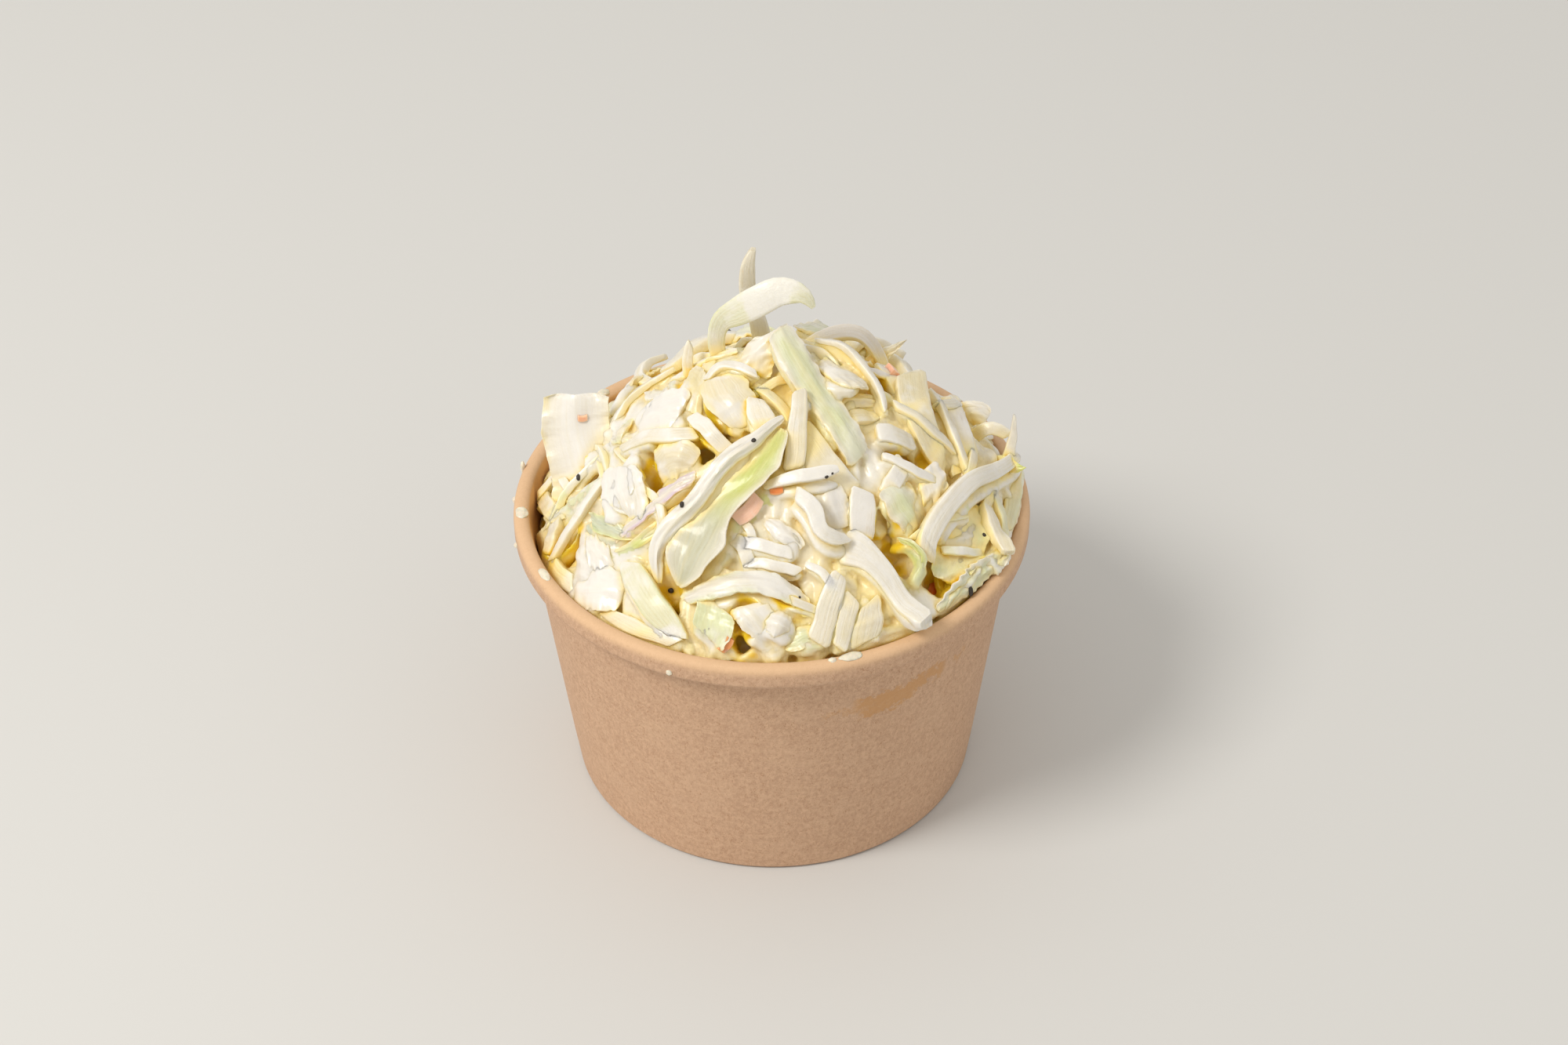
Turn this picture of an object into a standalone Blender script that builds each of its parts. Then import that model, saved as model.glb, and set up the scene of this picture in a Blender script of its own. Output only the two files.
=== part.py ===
"""A squat paper tub heaped with coleslaw: the tub's wall, its recessed base, and the slaw as one solid.

The origin is on the floor under the middle of the tub, +Z is up and -Y is the front. Lengths are in metres.
"""

import math
import random

import bmesh
import bpy
from mathutils import Vector, noise

MM = 0.001

# The tub: a tapered board wall that rolls out into a rim and folds in under a flat base.
TUB_HEIGHT = 60 * MM
RIM_RADIUS = 49 * MM
RIM_DEPTH = 5 * MM
RIM_CORNER = 1 * MM
RIM_GAP = 0.5 * MM
FOOT_RADIUS = 39.5 * MM
NECK_RADIUS = 46 * MM
BOARD = 0.6 * MM
FOLD_WIDTH = 1.8 * MM
FOLD_DEPTH = 5 * MM
FOLD_CORNER = 0.4 * MM
CORNER_POINTS = 2
TUB_STEPS = 48
GAP = 0.3 * MM

# The mound: a lumpy dome that is a little higher at the right, with its peak set back from the middle.
MOUND_RADIUS = 46 * MM
MOUND_RISE = 33 * MM
MOUND_POWER = 1.7
PEAK_BACK = 6 * MM
EDGE_HEIGHT = 56.5 * MM
RIGHT_RISE = 3 * MM
FRONT_RISE = 1 * MM
CORE_DROP = 2.2 * MM
LUMP_SIZE = 8 * MM
LUMP_HEIGHT = 1.6 * MM
MOUND_RINGS = 9
SLAW_STEPS = 36

# The shreds: strips of cabbage that lie over the core with their ends sunk in it. Those that lie on the mound
# reach down into it, so that no slit is left under them.
SHRED_THICK = 2.2 * MM
LAID_DEPTH = 6.2 * MM
END_SUNK = 1 * MM
SHRED_STEP = 4.2 * MM
END_WIDTH = 0.6

# The shortest edge that the joined slaw keeps.
SLIVER = 0.005 * MM

# The smaller shreds that fill the rest of the mound.
SEED = 11
FILL_SPOTS = 40
FILL_REACH = 0.85
FILL_CLEAR = 8 * MM

# Shreds that follow the mound, in millimetres and degrees: where one starts, its heading in plan, its length,
# how far it turns, its width, how high its middle arches, its lean from flat, and how far its sides curl up.
LAID = [
    dict(name="green_strip", x=2, y=5, head=297, length=25, turn=30, width=5, arch=3.5),
    dict(name="tent_right", x=11, y=3, head=6, length=9, turn=-120, width=6, arch=3.5),
    dict(name="stake_a", x=26, y=16, head=260, length=32, turn=45, width=5, arch=4, lean=25),
    dict(name="stake_b", x=33, y=14, head=279, length=25, turn=-15, width=4.5, arch=4, lean=20),
    dict(name="long_right", x=46, y=4, head=242, length=36, turn=-6, width=3.5, arch=5.5),
    dict(name="hang_right", x=38, y=-9, head=303, length=18, turn=-30, width=3, arch=4.5),
    dict(name="front_right", x=12, y=-29, head=341, length=27, turn=-54, width=4.6, arch=5, end_lift=5),
    dict(name="hook", x=4, y=-23, head=282, length=14, turn=84, width=3.4, arch=6.5),
    dict(name="crossbar", x=-3, y=-22, head=352, length=16, turn=28, width=2.4, arch=6),
    dict(name="boat", x=-20, y=-32, head=38, length=30, turn=2, width=11, arch=3.5, curl=4),
    dict(name="flake_left", x=-31, y=-4, head=309, length=15, turn=-45, width=9, arch=4.5, curl=2),
    dict(name="wave", x=-11, y=-19, head=216, length=21, turn=-56, width=5.5, arch=4.5, lean=30),
    dict(name="green_tube", x=-34, y=-13, head=289, length=13, turn=37, width=4, arch=4),
    dict(name="ribbed", x=6, y=-6, head=265, length=15, turn=-6, width=4.4, arch=5.5),
    dict(name="block", x=7, y=-10, head=312, length=12, turn=27, width=5.4, arch=5.5),
    dict(name="small_bar", x=18, y=-10, head=8, length=13, turn=16, width=2.6, arch=4.5),
    dict(name="slat_left", x=-25, y=-3, head=319, length=12, turn=60, width=8, arch=3.5),
    dict(name="arc_left", x=-28, y=-6, head=326, length=17, turn=24, width=3.2, arch=5.5),
    dict(name="cross_left", x=-16, y=-6, head=297, length=14, turn=27, width=3, arch=5.5),
    dict(name="low_left", x=-27, y=-23, head=284, length=21, turn=35, width=5.5, arch=4.5),
    dict(name="rim_left", x=-32, y=-29, head=315, length=20, turn=21, width=5, arch=3.5),
    dict(name="front_leaf", x=-10, y=-35, head=249, length=9, turn=24, width=7, arch=4, curl=2),
    dict(name="front_arch", x=-9, y=-35, head=354, length=17, turn=-13, width=3, arch=5.5),
    dict(name="slat_front_a", x=12, y=-33, head=249, length=10, turn=3, width=3, arch=4),
    dict(name="slat_front_b", x=15, y=-34, head=257, length=10, turn=0, width=3, arch=4),
    dict(name="slat_front_c", x=18, y=-35, head=249, length=10, turn=10, width=3, arch=4),
    dict(name="loop", x=18, y=-30, head=71, length=14, turn=-180, width=3, arch=5),
    dict(name="panel_mid", x=6, y=-13, head=320, length=18, turn=-65, width=7, arch=4, curl=2),
    dict(name="slab_mid", x=16, y=-20, head=263, length=11, turn=8, width=6, arch=4.5),
    dict(name="panel_right", x=36, y=-14, head=274, length=21, turn=-44, width=9, arch=2.5, curl=1.5),
    dict(name="rim_right", x=28, y=-37, head=33, length=21, turn=27, width=4, arch=3.5),
]

# Shreds that stand clear of the mound: their routes in millimetres, and the side that they show.
STANDING = [
    dict(
        name="crest_curl",
        width=5,
        face=(0, -4, 3),
        route=[
            (-9, 8, 83), (-10, 8, 90), (-9, 8, 95), (-6, 7, 99),
            (-2, 6, 101), (2, 6, 103), (6, 5, 103), (8, 4, 101),
        ],
    ),
    dict(
        name="crest_finger",
        width=3.2,
        face=(0, -4, 3),
        route=[(-1, 11, 84), (-2, 12, 91), (-4, 14, 97), (-4, 14, 102), (-3, 14, 107)],
    ),
    dict(
        name="ragged_cap",
        width=6,
        face=(-1, -4, 4),
        route=[(2, 7, 96), (0, 4, 94), (-2, 2, 91), (-4, -2, 85)],
    ),
    dict(
        name="arch_right",
        width=3.4,
        face=(0, -1, 3),
        route=[
            (5, 13, 80), (8, 16, 85), (12, 17, 87), (15, 17, 87),
            (17, 17, 86), (20, 17, 82), (22, 16, 76),
        ],
    ),
    dict(name="spike", width=3, face=(0, -4, 3), route=[(17, 16, 76), (21, 18, 80), (25, 19, 82)]),
    dict(name="flake_back", width=5, face=(0, -4, 3), route=[(34, 13, 64), (38, 13, 69), (42, 12, 70)]),
    dict(name="short_back", width=3, face=(0, -4, 3), route=[(37, 10, 64), (41, 9, 69), (46, 8, 68)]),
    dict(
        name="wall_leaf",
        width=13,
        face=(-1, -4, 2),
        route=[(-34, -4, 58), (-36, 2, 65), (-37, 6, 72), (-37, 9, 78)],
    ),
]


def wall_radius(height):
    """The radius of the middle of the wall's board at a height."""
    slope = (NECK_RADIUS - FOOT_RADIUS) / (TUB_HEIGHT - RIM_DEPTH)
    return FOOT_RADIUS - BOARD / 2 + slope * height


def inner_radius(height):
    return wall_radius(height) - BOARD / 2


def arc(x, z, radius, start, end):
    """Points of a rounded corner about (x, z), from one angle in degrees to another."""
    angles = [math.radians(start + (end - start) * i / (CORNER_POINTS - 1)) for i in range(CORNER_POINTS)]
    return [(x + radius * math.cos(angle), z + radius * math.sin(angle)) for angle in angles]


def mound_height(x, y):
    """The height of the smooth mound that the shreds follow."""
    inside = max(0, 1 - (x * x + y * y) / MOUND_RADIUS**2)
    spread = math.hypot(x, y - PEAK_BACK * inside) / MOUND_RADIUS
    edge = EDGE_HEIGHT + (RIGHT_RISE * x - FRONT_RISE * y) / MOUND_RADIUS
    return edge + MOUND_RISE * max(0, 1 - spread**MOUND_POWER)


def mound_normal(x, y):
    step = 1 * MM
    slope_x = (mound_height(x + step, y) - mound_height(x - step, y)) / (2 * step)
    slope_y = (mound_height(x, y + step) - mound_height(x, y - step)) / (2 * step)
    return Vector((-slope_x, -slope_y, 1)).normalized()


def make_collection(name):
    collection = bpy.data.collections.new(name)
    bpy.context.scene.collection.children.link(collection)
    return collection


def make_material(name, colour, roughness):
    material = bpy.data.materials.new(name)
    material.use_nodes = True
    shader = material.node_tree.nodes["Principled BSDF"]
    shader.inputs["Base Color"].default_value = (*colour, 1)
    shader.inputs["Roughness"].default_value = roughness
    shader.inputs["Metallic"].default_value = 0
    return material


def add_turned(name, profile, collection, steps, material=None):
    """A profile in the XZ plane, turned about the Z axis."""
    mesh = bpy.data.meshes.new(name)
    points = [(x, 0, z) for x, z in profile]
    mesh.from_pydata(points, [(i, i + 1) for i in range(len(points) - 1)], [])
    turned = bpy.data.objects.new(name, mesh)
    collection.objects.link(turned)
    screw = turned.modifiers.new("Screw", "SCREW")
    screw.steps = screw.render_steps = steps
    screw.use_merge_vertices = True
    screw.merge_threshold = 0.00001
    screw.use_smooth_shade = True
    if material:
        mesh.materials.append(material)
    return turned


def add_thickness(thing, thickness):
    solidify = thing.modifiers.new("Thickness", "SOLIDIFY")
    solidify.thickness = thickness
    solidify.offset = 0
    solidify.use_even_offset = True


def make_tub_wall(collection, board):
    """The wall: round its rolled rim, down the side and up inside the fold at its foot."""
    half = BOARD / 2
    neck = TUB_HEIGHT - RIM_DEPTH + half
    top = TUB_HEIGHT - half
    out = RIM_RADIUS - half
    roll = [(wall_radius(neck) + half + RIM_GAP, neck)]
    roll += arc(out - RIM_CORNER, neck + RIM_CORNER, RIM_CORNER, -90, 0)
    roll += arc(out - RIM_CORNER, top - RIM_CORNER, RIM_CORNER, 0, 90)
    roll += arc(wall_radius(top) + RIM_CORNER, top - RIM_CORNER, RIM_CORNER, 90, 180)
    foot = wall_radius(0)
    fold = arc(foot - FOLD_CORNER, half + FOLD_CORNER, FOLD_CORNER, 0, -90)
    fold += arc(foot - FOLD_WIDTH + FOLD_CORNER, half + FOLD_CORNER, FOLD_CORNER, -90, -180)
    fold += [(wall_radius(FOLD_DEPTH) - FOLD_WIDTH, FOLD_DEPTH)]
    wall = add_turned("tub_wall", roll + fold, collection, TUB_STEPS, board)
    add_thickness(wall, BOARD)


def make_tub_base(collection, board):
    """A flat disc that rests on the folded foot of the wall."""
    middle = FOLD_DEPTH + GAP + BOARD / 2
    edge = inner_radius(middle) - GAP
    base = add_turned("tub_base", [(0, middle), (edge, middle)], collection, TUB_STEPS, board)
    add_thickness(base, BOARD)


def make_core(collection, material):
    """The slaw inside the tub and its lumpy mound, without the shreds."""
    floor = FOLD_DEPTH + 2 * GAP + BOARD
    side = TUB_HEIGHT - RIM_DEPTH
    edge = inner_radius(side) - GAP
    top = [(edge * i / MOUND_RINGS, TUB_HEIGHT) for i in range(MOUND_RINGS + 1)]
    bottom = [(inner_radius(floor) - GAP, floor), (0, floor)]
    core = add_turned("slaw_core", top + bottom, collection, SLAW_STEPS)
    graph = bpy.context.evaluated_depsgraph_get()
    mesh = bpy.data.meshes.new_from_object(core.evaluated_get(graph))
    for vertex in mesh.vertices:
        if vertex.co.z > side:
            lump = noise.noise(vertex.co / LUMP_SIZE) * LUMP_HEIGHT
            vertex.co.z = mound_height(vertex.co.x, vertex.co.y) - CORE_DROP + lump
    slaw = bpy.data.objects.new("slaw", mesh)
    slaw.data.materials.append(material)
    collection.objects.link(slaw)
    bpy.data.objects.remove(core)
    return slaw


def laid_route(shred):
    """The middle line of a shred that follows the mound, and the way it faces at each point."""
    steps = max(4, round(shred["length"] * MM / SHRED_STEP))
    x, y = shred["x"] * MM, shred["y"] * MM
    stride = shred["length"] * MM / steps
    lift, arch = shred.get("end_lift", 0) * MM, shred["arch"] * MM
    route = []
    for i in range(steps + 1):
        t = i / steps
        rise = lift * t + arch * math.sin(math.pi * t) - END_SUNK
        normal = mound_normal(x, y)
        sunk = normal * (LAID_DEPTH - SHRED_THICK) / 2
        route.append((Vector((x, y, mound_height(x, y) + rise)) - sunk, normal))
        heading = math.radians(shred["head"] + shred["turn"] * (i + 0.5) / steps)
        level = math.hypot(1, normal.dot(Vector((math.cos(heading), math.sin(heading), 0))) / normal.z)
        x += stride / level * math.cos(heading)
        y += stride / level * math.sin(heading)
    return route


def standing_route(shred):
    """A smooth curve through the points of a shred that stands clear of the mound."""
    knots = [Vector(point) * MM for point in shred["route"]]
    knots = [2 * knots[0] - knots[1]] + knots + [2 * knots[-1] - knots[-2]]
    face = Vector(shred["face"]).normalized()
    route = []
    for before, start, end, after in zip(knots, knots[1:], knots[2:], knots[3:]):
        for t in (0, 0.5):
            slope_in, slope_out = (end - before) / 2, (after - start) / 2
            point = start * (2 * t**3 - 3 * t**2 + 1) + end * (3 * t**2 - 2 * t**3)
            point += slope_in * (t**3 - 2 * t**2 + t) + slope_out * (t**3 - t**2)
            route.append((point, face))
    return route + [(knots[-2], face)]


def add_shred(name, route, width, thickness, collection, lean=0, curl=0):
    """A strip of grid bent along its route, leaning from flat, with its two sides curled up."""
    steps = len(route) - 1
    rows = 2 if curl else 1
    form = bmesh.new()
    bmesh.ops.create_grid(form, x_segments=steps, y_segments=rows, size=0.5)
    for vertex in form.verts:
        t = vertex.co.x + 0.5
        i = round(t * steps)
        point, face = route[i]
        along = (route[min(i + 1, steps)][0] - route[max(i - 1, 0)][0]).normalized()
        across = face.cross(along).normalized()
        normal = along.cross(across)
        angle = math.radians(lean)
        side = across * math.cos(angle) + normal * math.sin(angle)
        lift = normal * math.cos(angle) - across * math.sin(angle)
        taper = END_WIDTH + (1 - END_WIDTH) * math.sin(math.pi * t) ** 0.5
        offset = 2 * vertex.co.y
        vertex.co = point + side * offset * width * MM / 2 * taper + lift * abs(offset) * curl * MM * taper
    mesh = bpy.data.meshes.new(name)
    form.to_mesh(mesh)
    form.free()
    shred = bpy.data.objects.new(name, mesh)
    collection.objects.link(shred)
    add_thickness(shred, thickness)


def fill_shreds(bold_middles):
    """Shreds for the rest of the mound, spread by the golden angle and turned at random."""
    chance = random.Random(SEED)
    golden = 180 * (3 - math.sqrt(5))
    for i in range(FILL_SPOTS):
        radius = FILL_REACH * MOUND_RADIUS * math.sqrt((i + 0.5) / FILL_SPOTS)
        bearing = math.radians(golden * i)
        spot = Vector((radius * math.cos(bearing), radius * math.sin(bearing)))
        if min((middle.xy - spot).length for middle in bold_middles) < FILL_CLEAR:
            continue
        yield dict(
            x=spot.x / MM,
            y=spot.y / MM,
            head=golden * i + chance.uniform(60, 150),
            length=chance.uniform(12, 22),
            turn=chance.uniform(-70, 110),
            width=chance.uniform(3, 5),
            arch=chance.uniform(3, 4.5),
            lean=chance.uniform(-30, 30),
        )


def keep_outer_skin(mesh):
    """Removes the pockets and crumbs that are left where shreds cross, so that one closed body remains."""
    form = bmesh.new()
    form.from_mesh(mesh)
    bmesh.ops.triangulate(form, faces=form.faces)
    bmesh.ops.dissolve_degenerate(form, edges=form.edges, dist=SLIVER)
    bmesh.ops.triangulate(form, faces=form.faces)
    left = set(form.faces)
    skins = []
    while left:
        skin, fresh = [], [left.pop()]
        while fresh:
            face = fresh.pop()
            skin.append(face)
            for edge in face.edges:
                if len(edge.link_faces) == 2:
                    near = left.intersection(edge.link_faces)
                    left -= near
                    fresh.extend(near)
        skins.append(skin)
    skins.sort(key=len)
    for skin in skins[:-1]:
        bmesh.ops.delete(form, geom=skin, context="FACES")
    form.to_mesh(mesh)
    form.free()


def make_slaw(collection, cutters, material):
    """The core with every shred joined to it, cut clear of the tub."""
    slaw = make_core(collection, material)
    shreds = make_collection("shreds")
    shreds.hide_render = True
    middles = []
    for shred in LAID:
        route = laid_route(shred)
        middles.append(route[len(route) // 2][0])
        lean, curl = shred.get("lean", 0), shred.get("curl", 0)
        add_shred(shred["name"], route, shred["width"], LAID_DEPTH, shreds, lean, curl)
    for shred in STANDING:
        add_shred(shred["name"], standing_route(shred), shred["width"], SHRED_THICK, shreds)
    for i, shred in enumerate(fill_shreds(middles)):
        add_shred(f"fill_{i}", laid_route(shred), shred["width"], LAID_DEPTH, shreds, shred["lean"])
    join = slaw.modifiers.new("Shreds", "BOOLEAN")
    join.operation = "UNION"
    join.operand_type = "COLLECTION"
    join.collection = shreds

    top = TUB_HEIGHT + GAP
    outer = RIM_RADIUS + 20 * MM
    inner = [(inner_radius(0) - GAP, 0), (inner_radius(TUB_HEIGHT) - GAP, top)]
    clearance = add_turned("tub_clearance", inner + [(outer, top), (outer, 0), inner[0]], cutters, TUB_STEPS)
    trim = slaw.modifiers.new("Clearance", "BOOLEAN")
    trim.operation = "DIFFERENCE"
    trim.object = clearance
    graph = bpy.context.evaluated_depsgraph_get()
    slaw.data = bpy.data.meshes.new_from_object(slaw.evaluated_get(graph))
    slaw.modifiers.clear()
    keep_outer_skin(slaw.data)
    for helper in [*shreds.objects, clearance]:
        helper.hide_render = True
        helper.display_type = "WIRE"


def main():
    for thing in list(bpy.data.objects):
        bpy.data.objects.remove(thing)
    parts = make_collection("coleslaw_tub")
    cutters = make_collection("cutters")
    board = make_material("kraft_board", (0.47, 0.28, 0.16), 0.75)
    cream = make_material("creamy_slaw", (0.87, 0.80, 0.60), 0.35)
    make_tub_wall(parts, board)
    make_tub_base(parts, board)
    make_slaw(parts, cutters, cream)


main()
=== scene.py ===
"""Finish and fine shapes of a paper tub heaped with creamy coleslaw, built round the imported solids.

Lengths are in metres. The tables of shreds are in millimetres and degrees, and MM makes them metres.
"""

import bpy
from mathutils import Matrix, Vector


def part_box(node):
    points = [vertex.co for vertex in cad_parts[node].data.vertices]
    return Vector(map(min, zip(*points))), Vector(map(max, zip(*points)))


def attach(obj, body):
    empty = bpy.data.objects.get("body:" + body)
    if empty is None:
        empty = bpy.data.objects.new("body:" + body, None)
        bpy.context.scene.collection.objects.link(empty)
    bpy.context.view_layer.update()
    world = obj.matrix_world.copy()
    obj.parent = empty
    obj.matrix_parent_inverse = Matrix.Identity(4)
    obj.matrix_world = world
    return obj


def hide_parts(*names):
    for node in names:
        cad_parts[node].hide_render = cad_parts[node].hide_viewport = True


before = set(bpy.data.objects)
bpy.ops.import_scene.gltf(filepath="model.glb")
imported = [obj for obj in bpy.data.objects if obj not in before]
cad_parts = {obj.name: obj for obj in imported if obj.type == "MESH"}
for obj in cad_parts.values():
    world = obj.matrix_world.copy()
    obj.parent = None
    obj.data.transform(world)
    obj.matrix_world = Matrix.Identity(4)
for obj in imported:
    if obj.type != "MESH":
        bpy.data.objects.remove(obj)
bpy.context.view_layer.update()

import math
import random

import bmesh
import bpy
import numpy as np
from mathutils import Matrix, Vector, kdtree, noise
from mathutils.bvhtree import BVHTree

MM = 0.001
SCENE = bpy.context.scene

# The tub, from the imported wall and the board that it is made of.
TUB_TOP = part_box("tub_wall")[1].z
RIM_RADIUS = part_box("tub_wall")[1].x
RIM_DEPTH = 5 * MM
RIM_CORNER = 1.1 * MM
RIM_GAP = 0.5 * MM
FOOT_RADIUS = 39.5 * MM
NECK_RADIUS = 46 * MM
BOARD = 0.6 * MM
FOLD_WIDTH = 1.8 * MM
FOLD_DEPTH = 5 * MM
FOLD_CORNER = 0.4 * MM
ROUND_STEPS = 6
TUB_STEPS = 180

# The mound that the shreds follow: a dome a little higher at the right, with its peak set back.
MOUND_RADIUS = 46 * MM
MOUND_RISE = 33 * MM
MOUND_POWER = 1.7
PEAK_BACK = 6 * MM
EDGE_HEIGHT = 56.5 * MM
RIGHT_RISE = 3 * MM
FRONT_RISE = 1 * MM
BACK_DIP = 4 * MM

# The camera, level with a person who looks down at the tub.
CAMERA_TARGET = Vector((2.3, 0, 53.7)) * MM
CAMERA_DISTANCE = 540 * MM
CAMERA_ELEVATION = 39.4
CAMERA_ROLL = -0.4
CAMERA_LENS = 64.8

# How the hollows between shreds are shaded: how many ways each point looks, from how far out and how far, and how
# many times the shade is spread to the points beside it. Then how deep the open pits are sunk.
LOOKS = 12
LOOK_START = 0.15 * MM
LOOK_REACH = 8 * MM
SPREADS = 4
HOLLOW_DEPTH = 2.6 * MM

# The fused mass of slaw: where it starts to narrow with the wall, where it ends, and how finely it is made.
WAIST_HEIGHT = 48 * MM
MASS_FOOT = 6.3 * MM
MASS_VOXEL = 0.5 * MM
MASS_TRIANGLES = 190000

# The turn from each spot to the next that spreads spots evenly.
GOLDEN = math.pi * (3 - math.sqrt(5))

TINTS = {
    "dressing": (0.765, 0.74, 0.69),
    "white": (0.745, 0.715, 0.645),
    "cream": (0.735, 0.675, 0.525),
    "yellow": (0.74, 0.655, 0.40),
    "green": (0.67, 0.69, 0.45),
    "pale": (0.65, 0.67, 0.49),
    "leaf": (0.56, 0.60, 0.20),
    "silver": (0.53, 0.525, 0.40),
    "sage": (0.50, 0.54, 0.40),
    "lilac": (0.70, 0.65, 0.615),
    "violet": (0.55, 0.41, 0.53),
}
PEPPER = (0.03, 0.022, 0.016)

# How wide each kind of shred is along its length, as shares of its width.
SHAPES = {
    "rib": (0.82, 0.96, 1, 1, 0.96, 0.82),
    "board": (0.95, 1, 1, 1, 1, 0.95),
    "leaf": (0.45, 0.85, 1, 1, 0.85, 0.5),
    "plate": (0.8, 1, 1, 0.95, 0.9, 0.7),
}

# How a shred faces that shows its broad side to someone in front of the tub.
FORWARD = (0, -4, 3)


def cut(kind, tints, width, thick, points, **more):
    """A shred of cabbage, in millimetres, with the tint of its middle and, where it differs, of its edges.

    Its points are x, y and the height over the mound or, for a shred with a face of its own, over the floor. More
    may give its shape, which is how its width changes along it, its lean from flat in degrees, the slant of its ends,
    how high its middle is crowned, how far its sides curl, ripple, fold, wobble and are ragged, how much of it is
    bare of dressing, the tint of its tip, and that it lies free of the slaw below.
    """
    tint, edge = (tints.split() * 2)[:2]
    line = {"route" if "face" in more else "path": points}
    return dict(kind=kind, tint=tint, edge=edge, width=width, thick=thick, **line, **more)


def bit(place, size, **more):
    """A bit on the slaw: where it is, its length, width and thickness, its colour and its heading in plan."""
    return dict(place=place, size=size, **more)


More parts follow.
